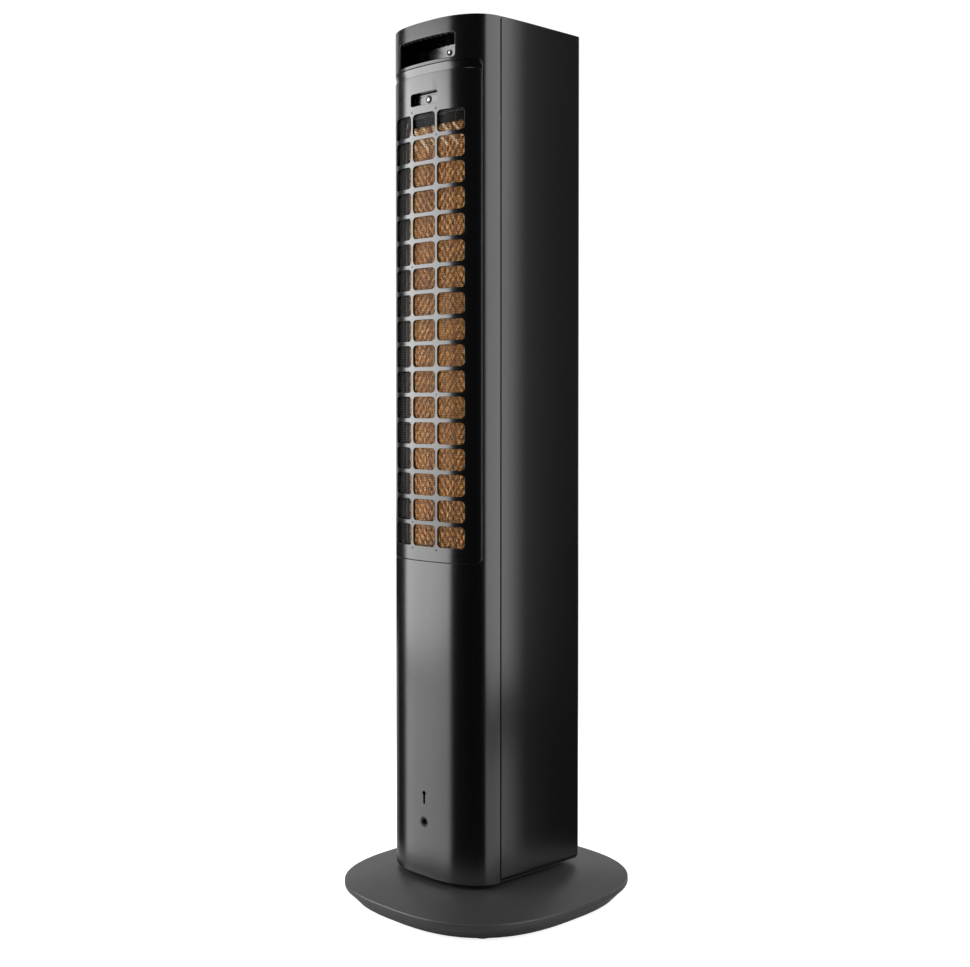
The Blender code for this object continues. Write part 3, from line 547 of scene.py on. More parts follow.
def flat_sheet(contours, thickness, edge, edge_steps=2):
    """A bmesh plate from outlines, holes among them, its edges rounded, centred on z = 0."""
    curve = bpy.data.curves.new("outline", "CURVE")
    curve.dimensions = "2D"
    curve.fill_mode = "BOTH"
    curve.extrude = thickness / 2 - edge
    curve.bevel_depth = edge
    curve.bevel_resolution = edge_steps
    curve.offset = -edge
    for contour in contours:
        spline = curve.splines.new("POLY")
        spline.points.add(len(contour) - 1)
        for point, (a, b) in zip(spline.points, contour):
            point.co = (a, b, 0.0, 1.0)
        spline.use_cyclic_u = True
    guide = linked("outline", curve)
    bpy.context.view_layer.update()
    seen = guide.evaluated_get(bpy.context.evaluated_depsgraph_get())
    mesh = bpy.data.meshes.new_from_object(seen)
    bm = bmesh.new()
    bm.from_mesh(mesh)
    bmesh.ops.remove_doubles(bm, verts=bm.verts, dist=1e-6)
    bpy.data.objects.remove(guide)
    return bm


def slice_sheet(bm, places, axis):
    normal = Vector((1, 0, 0)) if axis == 0 else Vector((0, 1, 0))
    for place in places:
        bmesh.ops.bisect_plane(bm, geom=bm.verts[:] + bm.edges[:] + bm.faces[:],
                               dist=1e-6, plane_co=normal * place, plane_no=normal)


def wrapped_sheet(name, contours, thickness=WALL, edge=0.5 * MM, depth=0.0, levels=(), sink=None):
    """A wall of the column: flat outlines of distance and height, wrapped round the plan."""
    bm = flat_sheet(contours, thickness, edge)
    reach = [point[0] for point in contours[0]]
    slice_sheet(bm, curved_stops(min(reach), max(reach)), 0)
    slice_sheet(bm, levels, 1)
    for vert in bm.verts:
        distance, height, lift = vert.co
        below = depth + thickness / 2 - lift
        if sink:
            below += sink(height)
        vert.co = wall_point(distance, height, below)
    return object_from(name, bm)


def curved_stops(low, high):
    """Distances at which a wrapped wall is sliced: often where the plan bends, never elsewhere."""
    stops = []
    previous = None
    count = int((high - low) / (0.5 * MM))
    for i in range(1, count):
        distance = low + (high - low) * i / count
        nx, ny = on_plan(distance)[2:]
        heading = math.degrees(math.atan2(ny, nx))
        if previous is None or abs((heading - previous + 180) % 360 - 180) > 0.9:
            stops.append(distance)
            previous = heading
    return stops


def plate(name, contours, low, high, edge=0.4 * MM):
    """A flat level plate between two heights."""
    bm = flat_sheet(contours, high - low, edge)
    bmesh.ops.translate(bm, vec=(0, 0, (low + high) / 2), verts=bm.verts)
    return object_from(name, bm)


def upright_plate(name, contours, back_y, front_y, edge=0.4 * MM):
    """A plate drawn in x and z that stands between two values of y."""
    bm = flat_sheet(contours, abs(back_y - front_y), edge)
    for vert in bm.verts:
        x, z, lift = vert.co
        vert.co = (x, (back_y + front_y) / 2 - lift, z)
    return object_from(name, bm)


def band_between(bm, lower, upper):
    """Faces that join two rings of as many vertices."""
    for j in range(len(lower)):
        k = (j + 1) % len(lower)
        bm.faces.new((lower[j], lower[k], upper[k], upper[j]))


def loft(bm, loops, close_last=True):
    """Joins loops of equal length, closed round, and fills the last one."""
    rings = [[bm.verts.new(point) for point in loop] for loop in loops]
    for lower, upper in zip(rings, rings[1:]):
        band_between(bm, lower, upper)
    if close_last:
        bm.faces.new(rings[-1])
    return rings


def turned(name, profile, centre, axis="Z", sides=48):
    """A solid of revolution; the profile is (radius, height), from the axis back to the axis."""
    bm = bmesh.new()
    rings = []
    for radius, height in profile:
        ring = []
        for i in range(sides):
            angle = 2 * math.pi * i / sides
            a, b = radius * math.cos(angle), radius * math.sin(angle)
            place = (a, b, height) if axis == "Z" else (a, height, b)
            ring.append(bm.verts.new(Vector(place) + Vector(centre)))
        rings.append(ring)
    closed = profile[0][0] > 0
    for i in range(len(rings) if closed else len(rings) - 1):
        band_between(bm, rings[i], rings[(i + 1) % len(rings)])
    bmesh.ops.remove_doubles(bm, verts=bm.verts, dist=1e-7)
    return object_from(name, bm)


def joined(name, objects):
    """Puts several meshes into one object."""
    bm = bmesh.new()
    for obj in objects:
        bm.from_mesh(obj.data)
        bpy.data.objects.remove(obj)
    return linked_mesh(name, bm)


# Rear shell and front shell.

SEAM_AT = distance_at_y(SEAM_Y)
PANEL_AT = distance_at_x(PANEL_HALF_X)
panel_low, panel_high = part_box("rear_panel")


def panel_outline(growth=0.0, top=panel_high[2]):
    half = PANEL_AT + growth
    return rounded((-half, half), (panel_low[2] - growth, top + growth), PANEL_CORNER + growth,
                   upper=PANEL_TOP_CORNER + growth)


def hook_outline():
    """A round hole with a narrow slot below it, for a clip."""
    reach = math.degrees(math.asin(HOOK_SLOT_HALF / HOOK_R))
    points = arc((0, HOOK_Z), HOOK_R, -90 + reach, 270 - reach, 16)
    points += arc((0, HOOK_SLOT_LOW + HOOK_SLOT_HALF), HOOK_SLOT_HALF, 180, 360, 6)
    return points


def handle_outline(growth=0.0):
    half = distance_at_x(HANDLE_HALF_X) + growth
    return rounded((-half, half), (HANDLE_Z[0] - growth, HANDLE_Z[1] + growth), 4 * MM + growth)


def make_rear_shell():
    low, high = shell_low[2], shell_high[2]
    outline = [(SEAM_AT, high), (-SEAM_AT, high), (-SEAM_AT, low), (SEAM_AT, low)]
    cord = arc((0, CORD_Z), CORD_HOLE_R, 0, 345, 23)
    wall = wrapped_sheet("rear_shell_wall", [outline, panel_outline(PANEL_GAP), handle_outline(),
                                             hook_outline(), cord])
    finish_piece(wall, "tower", "body_plastic", ["rear_shell"], FLAT_CREASE)

    ledge_in, ledge_out = 4.5 * MM, 7.0 * MM
    below_groove = 8 * MM
    bottom = panel_low[2]
    top = panel_high[2] - GROOVE_HEIGHT - below_groove
    outer, inner = PANEL_AT + ledge_out, PANEL_AT - ledge_in
    rebate = [(outer, top), (outer, bottom - ledge_out), (-outer, bottom - ledge_out),
              (-outer, top), (-inner, top), (-inner, bottom + ledge_in),
              (inner, bottom + ledge_in), (inner, top)]
    ledge = wrapped_sheet("rear_shell_rebate", [rebate], thickness=1.2 * MM, edge=0.3 * MM,
                          depth=2.8 * MM)
    finish_piece(ledge, "tower", "inner_plastic")


def make_front_shell():
    low, high = front_low[2], front_high[2]
    start = distance_at_y(front_high[1])
    end = 2 * HALF_ROUND - start
    outline = [(end, high), (start, high), (start, low), (end, low)]
    outlet_low, outlet_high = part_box("outlet_grille")
    drawer_low, drawer_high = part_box("tank_front")
    margin = 0.7 * MM

    def opening(box_low, box_high, corner):
        reach = box_high[0] + margin
        return rounded((HALF_ROUND - reach, HALF_ROUND + reach),
                       (box_low[2] - margin, box_high[2] + margin), corner)

    strip = 4.5 * MM
    lean = 0.45

    def chamfer(height):
        return max(0.0, low + strip - height) * lean

    wall = wrapped_sheet("front_shell_wall",
                         [outline, opening(outlet_low, outlet_high, 3 * MM),
                          opening(drawer_low, drawer_high, 3 * MM)],
                         levels=(low + strip,), sink=chamfer)
    finish_piece(wall, "tower", "body_plastic", ["front_shell"], FLAT_CREASE)


# Rear panel.

def grille_openings():
    openings = []
    for row in range(GRILLE_ROWS):
        middle = TOP_BAR_Z + ROW_PITCH / 2 - row * ROW_PITCH
        for left, right in COLUMNS:
            reach = (distance_at_x(left * MM), distance_at_x(right * MM))
            height = (middle - ROW_OPENING / 2, middle + ROW_OPENING / 2)
            openings.append(rounded(reach, height, OPENING_CORNER, 5))
    return openings


def pull_outline():
    half = distance_at_x(PULL_HALF_X)
    return rounded((-half, half), PULL_Z, 3 * MM)


def make_rear_panel():
    ledge = panel_high[2] - GROOVE_HEIGHT
    pins = [arc((distance_at_x(x * MM), z * MM), PIN_R, 0, 330, 11) for x, z in PIN_HOLES]
    sheet = wrapped_sheet("rear_panel_grille", [panel_outline(0.0, ledge), *grille_openings(),
                                                pull_outline(), *pins], GRILLE_DEPTH, 0.45 * MM)
    finish_piece(sheet, "rear_panel", "body_plastic", ["rear_panel"], FLAT_CREASE)

    top = panel_high[2]

    def slope(height):
        return GROOVE_DEPTH * (top - height) / GROOVE_HEIGHT

    tucked = ledge - 3 * MM
    band = [point for point in panel_outline() if point[1] > ledge]
    band += [(-PANEL_AT, tucked), (PANEL_AT, tucked)]
    groove = wrapped_sheet("rear_panel_groove", [band], sink=slope)
    finish_piece(groove, "rear_panel", "body_plastic", crease=FLAT_CREASE)

    cup = pocket("rear_panel_pull", PULL_HALF_X, PULL_Z, 3 * MM, PULL_BACK_Y, (2.0 * MM, 2.0 * MM))
    finish_piece(cup, "rear_panel", "body_plastic")
    make_screw_ring("rear_panel_screw_ring", "rear_panel", PULL_BACK_Y, PANEL_SCREW_Z)
    make_screw("panel_screw", "rear_panel", PULL_BACK_Y, PANEL_SCREW_Z)
    make_pins()


def make_pins():
    """Small ejector studs where every fifth bar crosses an upright."""
    dots = []
    for i in range(4):
        x = (PIN_X if i % 2 else -PIN_X) * MM
        x, y, nx, ny = on_plan(distance_at_x(x))
        bm = bmesh.new()
        bmesh.ops.create_cone(bm, cap_ends=True, segments=16, radius1=1.1 * MM,
                              radius2=0.8 * MM, depth=0.8 * MM)
        turn = Vector((nx, ny, 0)).to_track_quat("Z", "Y").to_matrix()
        bmesh.ops.rotate(bm, matrix=turn, verts=bm.verts)
        bmesh.ops.translate(bm, vec=(x, y + 0.1 * MM, TOP_BAR_Z - 5 * i * ROW_PITCH), verts=bm.verts)
        dots.append(object_from("dot", bm))
    finish_piece(joined("rear_panel_studs", dots), "rear_panel", "inner_plastic")


def pocket(name, half_x, height, corner, back_y, fillet, hollow=0.0, lean=0.0):
    """A blind pocket whose mouth follows the column's back; fillet is (across, up and down).

    Its back wall may be hollowed towards its ends and lean out at its top.
    """
    skin = 1.5 * MM
    mouth_growth = 0.3 * MM
    mouth_depth = 0.6 * MM
    least_corner = 0.4 * MM
    middle = (height[0] + height[1]) / 2

    def back(x, z):
        return back_y + hollow * (x / half_x) ** 2 + lean * (z - middle)

    def loop(inset_x, inset_z, y):
        radius = max(corner - min(inset_x, inset_z), least_corner)
        flat = rounded((-half_x + inset_x, half_x - inset_x),
                       (height[0] + inset_z, height[1] - inset_z), radius)
        if y is None:
            return [(x, on_plan(distance_at_x(x))[1] - mouth_depth, z) for x, z in flat]
        share = max(0.0, 1 - (y - back_y) / max(fillet))
        return [(x, y + share * (back(x, z) - back_y), z) for x, z in flat]

    loops = [loop(-mouth_growth, -mouth_growth, None)]
    shoulder = back_y + max(fillet)
    loops.append(loop(0.0, 0.0, shoulder + 2 * MM))
    steps = 8
    for i in range(steps + 1):
        angle = math.pi / 2 * i / steps
        across = fillet[0] * (1 - math.cos(angle))
        upright = fillet[1] * (1 - math.cos(angle))
        loops.append(loop(across, upright, back_y + max(fillet) * (1 - math.sin(angle))))
    rim = loops[-1]
    for share in (0.85, 0.7, 0.55, 0.4, 0.25, 0.1, 0.02):
        ring = [(x * share, middle + (z - middle) * share) for x, y, z in rim]
        loops.append([(x, back(x, z), z) for x, z in ring])
    bm = bmesh.new()
    loft(bm, loops)
    obj = object_from(name, bm)
    solid = obj.modifiers.new("wall", "SOLIDIFY")
    solid.thickness = skin
    solid.offset = 1.0 if obj.data.polygons[-1].normal.y < 0 else -1.0
    return baked(obj)


def make_screw_ring(name, body, back_y, height):
    """A soft washer that the screw's head beds into."""
    profile = [(r * MM, h * MM) for r, h in ((4.7, -0.2), (4.7, 0.5), (4.3, 0.8), (3.6, 0.8),
                                             (3.2, 0.4), (3.2, -0.2))]
    ring = turned(name, profile, (0, back_y, height), "Y", 36)
    finish_piece(ring, body, "rubber")


def make_screw(node, body, back_y, height):
    """A low pan head with a cross recess."""
    profile = [(0.0, 1.35), (1.6, 1.3), (2.2, 1.1), (2.65, 0.75), (2.85, 0.2), (2.85, 0.0), (1.9, 0.0),
               (1.9, -9.0), (0.0, -11.0)]
    screw = turned(node + "_cross", [(r * MM, h * MM) for r, h in profile],
                   (0, back_y + 0.3 * MM, height), "Y", 32)
    bm = bmesh.new()
    for width, tall in ((3.6, 0.8), (0.8, 3.6)):
        made = bmesh.ops.create_cube(bm, size=MM)["verts"]
        bmesh.ops.scale(bm, vec=(width, 3.0, tall), verts=made)
        bmesh.ops.translate(bm, vec=(0, back_y + 2.3 * MM, height), verts=made)
    cross = object_from("cross", bm)
    recess = screw.modifiers.new("recess", "BOOLEAN")
    recess.object = cross
    recess.use_self = True
    baked(screw)
    bpy.data.objects.remove(cross)
    finish_piece(screw, body, "screw_steel", [node])


def strand_into(bm, points, half_width, half_depth):
    """A thin square strand through points of (place, sideways, outward)."""
    rings = []
    for place, sideways, outward in points:
        rings.append([bm.verts.new(place + sideways * a + outward * b)
                      for a, b in ((-half_width, -half_depth), (half_width, -half_depth),
                                   (half_width, half_depth), (-half_width, half_depth))])
    for lower, upper in zip(rings, rings[1:]):
        band_between(bm, lower, upper)
    bm.faces.new(rings[0])
    bm.faces.new(reversed(rings[-1]))


def make_dust_filter():
    """Fine level threads held by sparse upright ribs, bent to the panel's curve."""
    low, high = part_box("dust_filter")
    pitch = 2.1 * MM
    thread_half, rib_half, half_depth = 0.24 * MM, 0.2 * MM, 0.2 * MM
    half = distance_at_x(high[0]) - 0.5 * MM
    depth = 3.9 * MM
    bm = bmesh.new()
    up = Vector((0, 0, 1))
    segments = 28
    for i in range(int((high[2] - low[2]) / pitch)):
        height = low[2] + (i + 0.5) * pitch
        points = []
        for j in range(segments + 1):
            distance = -half + 2 * half * j / segments
            nx, ny = on_plan(distance)[2:]
            points.append((wall_point(distance, height, depth), up, Vector((nx, ny, 0))))
        strand_into(bm, points, thread_half, half_depth)
    ribs = 9
    for i in range(ribs):
        distance = -half + 2 * half * i / (ribs - 1)
        nx, ny = on_plan(distance)[2:]
        sideways = Vector((-ny, nx, 0))
        points = [(wall_point(distance, height, depth), sideways, Vector((nx, ny, 0)))
                  for height in (low[2], high[2])]
        strand_into(bm, points, rib_half, half_depth)
    mesh = object_from("dust_filter_threads", bm)
    finish_piece(mesh, "rear_panel", "mesh", ["dust_filter"])


def make_cooling_pad():
    """Sheets of paper with slanting flutes, each sheet's slant crossing its neighbour's."""
    low, high = pad_low, pad_high
    sheet_pitch = 5.0 * MM
    wave = 13.0 * MM
    swing = 2.3 * MM
    flute_slant = 0.8
    wander = 0.9
    chance = random.Random(7)
    count = int((high[0] - low[0]) / sheet_pitch) - 1
    start = (low[0] + high[0] - (count - 1) * sheet_pitch) / 2
    rows = int((high[2] - low[2]) / (2.0 * MM))
    columns = 6
    bm = bmesh.new()
    for i in range(count):
        slant = 1.0 if i % 2 else -1.0
        phase = math.pi * (i % 2) + chance.uniform(-0.45, 0.45)
        middle = start + i * sheet_pitch + chance.uniform(-0.35, 0.35) * MM
        grid = []
        for j in range(rows + 1):
            z = low[2] + (high[2] - low[2]) * j / rows
            line = []
            for k in range(columns + 1):
                y = low[1] + (high[1] - low[1]) * k / columns
                turn = 2 * math.pi * (z + slant * (high[1] - y) * flute_slant) / wave + phase
                x = middle + swing * math.sin(turn + wander * math.sin(z / (23 * MM) + i))
                line.append(bm.verts.new((x, y, z)))
            grid.append(line)
        grid_faces(bm, grid)
    pad = object_from("cooling_pad_sheets", bm)
    solid = pad.modifiers.new("paper", "SOLIDIFY")
    solid.thickness = 0.6 * MM
    solid.offset = 0.0
    finish_piece(baked(pad), "rear_panel", "cellulose", ["cooling_pad"], RAGGED_CREASE)
    make_pad_core(chance)
    make_resin_strips(chance)


def make_pad_core(chance):
    """The crossing flutes close behind the sheets' edges: a ridged, ragged surface."""
    low, high = pad_low, pad_high
    step = 1.5 * MM
    front = high[1] - 3.4 * MM
    thickness = 0.9 * MM
    margin = MM
    ridge_pitch = 9.5 * MM
    ridge = 1.9 * MM
    slant = 0.75
    sway_by = 1.2 * MM
    columns = int((high[0] - low[0] - 2 * margin) / step)
    rows = int((high[2] - low[2] - 2 * margin) / step)
    grids = []
    for depth in (0.0, thickness):
        grid = []
        for j in range(rows + 1):
            z = low[2] + margin + j * step
            line = []
            for i in range(columns + 1):
                x = low[0] + margin + i * step
                sway = sway_by * math.sin(z / (31 * MM)) + sway_by * math.sin(x / (17 * MM))
                rise = max(abs(math.cos(math.pi * (x + slant * z + sway) / ridge_pitch)) ** 6,
                           abs(math.cos(math.pi * (x - slant * z - sway) / ridge_pitch)) ** 6)
                ragged = 0.0 if depth else chance.uniform(-0.25, 0.25) * MM
                line.append((x, front - depth + ridge * rise + ragged, z))
            grid.append(line)
        grids.append(grid)
    bm = bmesh.new()
    made = [[[bm.verts.new(point) for point in line] for line in grid] for grid in grids]
    for grid in made:
        grid_faces(bm, grid)
    for rim_front, rim_back in zip(rim_of(made[0]), rim_of(made[1])):
        bm.faces.new((rim_front[0], rim_front[1], rim_back[1], rim_back[0]))
    bmesh.ops.recalc_face_normals(bm, faces=bm.faces)
    finish_piece(object_from("cooling_pad_core", bm), "rear_panel", "cellulose", crease=RAGGED_CREASE)


def grid_faces(bm, grid):
    for lower, upper in zip(grid, grid[1:]):
        for i in range(len(lower) - 1):
            bm.faces.new((lower[i], lower[i + 1], upper[i + 1], upper[i]))


def rim_of(grid):
    """The edges round a grid of vertices, as pairs in order."""
    corners = grid[0] + [line[-1] for line in grid[1:]] + grid[-1][-2::-1]
    corners += [line[0] for line in grid[-2:0:-1]]
    return list(zip(corners, corners[1:] + corners[:1]))


def make_resin_strips(chance):
    """Pale strips of dried resin across the pad's top edge."""
    low, high = pad_low, pad_high
    pitch = 18.0 * MM
    reach = 27.0 * MM
    sideways = Vector((1.0, 0.0, -1.0)).normalized()
    out = Vector((0.0, 1.0, 0.0))
    strips = []
    for i in range(int((high[0] - low[0] + reach) / pitch) + 1):
        start_x = low[0] + 4 * MM + i * pitch
        begin = max(0.0, start_x - high[0] + 3 * MM)
        end = min(reach + chance.uniform(-2.5, 2.5) * MM, start_x - low[0] - 3 * MM)
        if end - begin < 4 * MM:
            continue
        bm = bmesh.new()
        rings = []
        steps = 8
        for j in range(steps + 1):
            along = begin + (end - begin) * j / steps
            half = (2.2 + chance.uniform(-0.4, 0.4)) * MM * (0.5 if j in (0, steps) else 1.0)
            middle = Vector((start_x - along, high[1] - 0.5 * MM, high[2] - MM - along))
            rings.append([middle + sideways * half * a + out * 0.4 * MM * b
                          for a, b in ((-1, -1), (1, -1), (0.8, 1), (-0.8, 1))])
        made = loft(bm, rings)
        bm.faces.new(reversed(made[0]))
        strips.append(object_from("strip", bm))
    finish_piece(joined("cooling_pad_strips", strips), "rear_panel", "cellulose",
                 crease=ROUND_CREASE, look=RESIN)


# Handle pocket, grommet.

def make_handle():
    cup = pocket("handle_pocket", HANDLE_HALF_X, HANDLE_Z, 4 * MM, HANDLE_BACK_Y,
                 (12.0 * MM, 2.0 * MM), 3.0 * MM, HANDLE_LEAN)
    finish_piece(cup, "tower", "body_plastic", ["handle_cup"])
    rib_half, rib_drop = 2.7 * MM, 3.0 * MM
    bm = bmesh.new()
    for i in range(GRIP_RIBS):
        x = (i - (GRIP_RIBS - 1) / 2) * GRIP_PITCH
        front = on_plan(distance_at_x(x))[1] - 1.2 * MM
        loops = []
        back = front - HANDLE_BACK_Y - 1.5 * MM
        for share, behind in ((0.02, 0.1 * MM), (0.3, 0.5 * MM), (0.6, 1.2 * MM), (0.85, 2.2 * MM),
                              (1.0, 3.6 * MM), (1.0, 12.0 * MM), (1.0, back)):
            y = front - behind
            loops.append([(x + rib_half * share * math.cos(a), y,
                           HANDLE_Z[1] + 0.4 * MM - rib_drop * share * math.sin(a))
                          for a in (math.pi * k / 8 for k in range(9))])
        loft(bm, loops)
    finish_piece(object_from("handle_grip_ribs", bm), "tower", "body_plastic")
    seat = HANDLE_BACK_Y + HANDLE_LEAN * (HANDLE_SCREW_Z - sum(HANDLE_Z) / 2)
    make_screw_ring("handle_screw_ring", "tower", seat, HANDLE_SCREW_Z)
    make_screw("handle_screw", "tower", seat, HANDLE_SCREW_Z)


def make_grommet():
    low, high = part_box("cord_grommet")
    top = high[1]
    profile = [(6.0 * MM, top - 0.3 * MM), (5.7 * MM, top), (4.6 * MM, top), (4.25 * MM, top - 0.3 * MM),
               (4.25 * MM, low[1]), (8.5 * MM, low[1]), (8.5 * MM, low[1] + 3.5 * MM),
               (6.0 * MM, low[1] + 3.5 * MM)]
    grommet = turned("cord_grommet_ring", profile, (0, 0, CORD_Z), "Y", 36)
    finish_piece(grommet, "tower", "rubber", ["cord_grommet"])


# Base.

def smooth_path(points, steps):
    """A Catmull-Rom curve through points of any length."""
    padded = [points[0], *points, points[-1]]
    path = []
    for p0, p1, p2, p3 in zip(padded, padded[1:], padded[2:], padded[3:]):
        for i in range(steps):
            t = i / steps
            path.append(tuple(0.5 * (2 * b + (c - a) * t + (2 * a - 5 * b + 4 * c - d) * t * t
                                     + (3 * b - a - 3 * c + d) * t ** 3)
                              for a, b, c, d in zip(p0, p1, p2, p3)))
    path.append(points[-1])
    return path


def base_loop(inset, height, sides=180):
    points = []
    for i in range(sides):
        angle = 2 * math.pi * i / sides
        cosine, sine = math.cos(angle), math.sin(angle)
        x = (base_high[0] - inset) * math.copysign(abs(cosine) ** (2 / BASE_POWER), cosine)
        y = (base_high[1] - inset) * math.copysign(abs(sine) ** (2 / BASE_POWER), sine)
        points.append((x, y, height))
    return points


def make_base():
    """The domed cover: a rounded rim, a wall that leans in below it, and a level middle."""
    rim = ((13.8, 2.5), (8.2, 8.6), (3.4, 13.8), (0.9, 16.0), (0.0, 17.6), (0.0, 22.0), (0.5, 23.3),
           (1.9, 24.1), (8.0, 26.4), (20.0, 30.4), (40.0, 36.4), (62.0, 40.2), (90.0, 42.0), (130.0, 42.0))
    outer = smooth_path([(a * MM, b * MM) for a, b in rim], 5)
    inner = [(130.0, 39.5), (90.0, 39.5), (62.0, 37.8), (40.0, 33.8), (20.0, 27.8), (6.0, 22.6),
             (3.2, 20.6), (16.2, 2.5)]
    profile = outer + [(a * MM, b * MM) for a, b in inner]
    bm = bmesh.new()
    rings = loft(bm, [base_loop(max(inset, 0.0), min(height, base_high[2]))
                      for inset, height in profile],
                 close_last=False)
    band_between(bm, rings[-1], rings[0])
    cover = object_from("base_dome", bm)
    finish_piece(cover, "base", "base_plastic", ["base_cover"], ROUND_CREASE)
    collar = [(31.0, 39.6), (31.0, 42.0), (60.0, 42.0), (60.0, 39.6)]
    ring = turned("base_collar", [(r * MM, h * MM) for r, h in collar], (0, 0, 0), sides=64)
    finish_piece(ring, "base", "base_plastic")


# Front and top.

def make_outlet():
    """A frame with upright rounded bars and a few level ribs behind them."""
    frame_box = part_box("outlet_grille")
    low, high = frame_box
    border = 5 * MM
    outline = outline_of(frame_box, 2.5 * MM)
    hole = outline_of(frame_box, 2 * MM, -border)
    outlet = upright_plate("outlet_frame", [outline, hole], low[1], high[1], 0.8 * MM)
    finish_piece(outlet, "tower", "body_plastic", ["outlet_grille"], FLAT_CREASE)
    bm = bmesh.new()
    tucked = border - MM
    bar_half_width, bar_half_depth = 1.2 * MM, 3.8 * MM
    rib_half_height, rib_half_depth = 1.0 * MM, 3.0 * MM
    bar_y, rib_y = low[1] + bar_half_depth, low[1] + 6.6 * MM
    pitch = (high[0] - low[0] - 2 * border) / (OUTLET_BARS + 1)
    for i in range(OUTLET_BARS):
        x = (i - (OUTLET_BARS - 1) / 2) * pitch
        rod_into(bm, [[(x + bar_half_width * a, bar_y + bar_half_depth * b, z)
                       for a, b in rounded_section()] for z in (low[2] + tucked, high[2] - tucked)])
    for i in range(OUTLET_RIBS):
        z = low[2] + (high[2] - low[2]) * (i + 1) / (OUTLET_RIBS + 1)
        rod_into(bm, [[(x, rib_y + rib_half_depth * b, z + rib_half_height * a)
                       for a, b in rounded_section()] for x in (low[0] + tucked, high[0] - tucked)])
    finish_piece(object_from("outlet_bars", bm), "tower", "body_plastic")


def rounded_section():
    """A bar's section, 1 each way from its middle, blunt at the front and thin at the back."""
    return [(a * (1.0 if b < 0 else 1 - 0.45 * b), b) for a, b in arc((0, 0), 1.0, 0, 337.5, 15)]


def rod_into(bm, loops):
    rings = loft(bm, loops)
    bm.faces.new(reversed(rings[0]))


def body_plan_outline(inset):
    """The column's plan as a closed outline, a little inside its walls."""
    points = []
    for distance in [0.0, *curved_stops(0.0, 2 * HALF_ROUND)]:
        point = wall_point(distance, 0.0, inset)
        points.append((point.x, point.y))
    return points


def make_top():
    deck_low, deck_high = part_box("top_deck")
    panel_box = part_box("control_panel")
    lens_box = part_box("display_lens")
    grow = 0.3 * MM
    well = outline_of(panel_box, MM, grow, up=1)
    deck = plate("top_deck_plate", [body_plan_outline(2.8 * MM), well], deck_low[2], deck_high[2],
                 0.5 * MM)
    finish_piece(deck, "tower", "body_plastic", ["top_deck"], FLAT_CREASE, DECK)

    holes = [outline_of(lens_box, MM, grow, up=1)]
    for i in range(1, 6):
        low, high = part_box(f"button_{i}")
        centre = ((low[0] + high[0]) / 2, (low[1] + high[1]) / 2)
        holes.append(arc(centre, KEY_HOLE_R, 0, 350, 35))
        make_button(i, centre, high[2])
    panel = plate("control_panel_plate", [outline_of(panel_box, MM, up=1), *holes],
                  panel_box[0][2], panel_box[1][2])
    finish_piece(panel, "tower", "body_plastic", ["control_panel"], FLAT_CREASE, DECK)
    lens = plate("display_window", [outline_of(lens_box, MM, up=1)], lens_box[0][2], lens_box[1][2],
                 0.3 * MM)
    finish_piece(lens, "tower", "dark_lens", ["display_lens"])


def make_button(number, centre, top):
    """A dished round key with a plain printed ring or bar on it."""
    profile = [(0.0, -0.5), (3.5, -0.4), (5.6, -0.1), (6.3, 0.0), (6.8, -0.2), (7.0, -0.7),
               (7.0, -7.6), (2.0, -7.6), (2.0, -9.1), (0.0, -9.1)]
    key = turned(f"button_{number}_key", [(r * MM, top + h * MM) for r, h in profile], (*centre, 0))
    finish_piece(key, f"button_{number}", "body_plastic", [f"button_{number}"])
    ring = (arc(centre, 2.6 * MM, 0, 350, 35), arc(centre, 2.1 * MM, 0, 350, 35))
    dot = (arc(centre, 0.8 * MM, 0, 350, 20),)
    marks = {1: [ring], 2: bars(centre, 3, 3.6), 3: bars(centre, 1, 3.6), 4: bars(centre, 2, 3.6),
             5: [ring, dot]}
    pieces = [plate("mark", list(contours), top - 0.52 * MM, top - 0.3 * MM, 0.02 * MM)
              for contours in marks[number]]
    mark = joined(f"button_{number}_mark", pieces)
    finish_piece(mark, f"button_{number}", "body_plastic", look=MARK)


def bars(centre, count, length):
    """Short level bars, one above another, round a centre."""
    half, thick, pitch = length / 2 * MM, 0.25 * MM, 1.3 * MM
    shapes = []
    for i in range(count):
        y = centre[1] + (i - (count - 1) / 2) * pitch
        shapes.append((rounded((centre[0] - half, centre[0] + half), (y - thick, y + thick),
                               0.2 * MM, 2),))
    return shapes


# Tank.

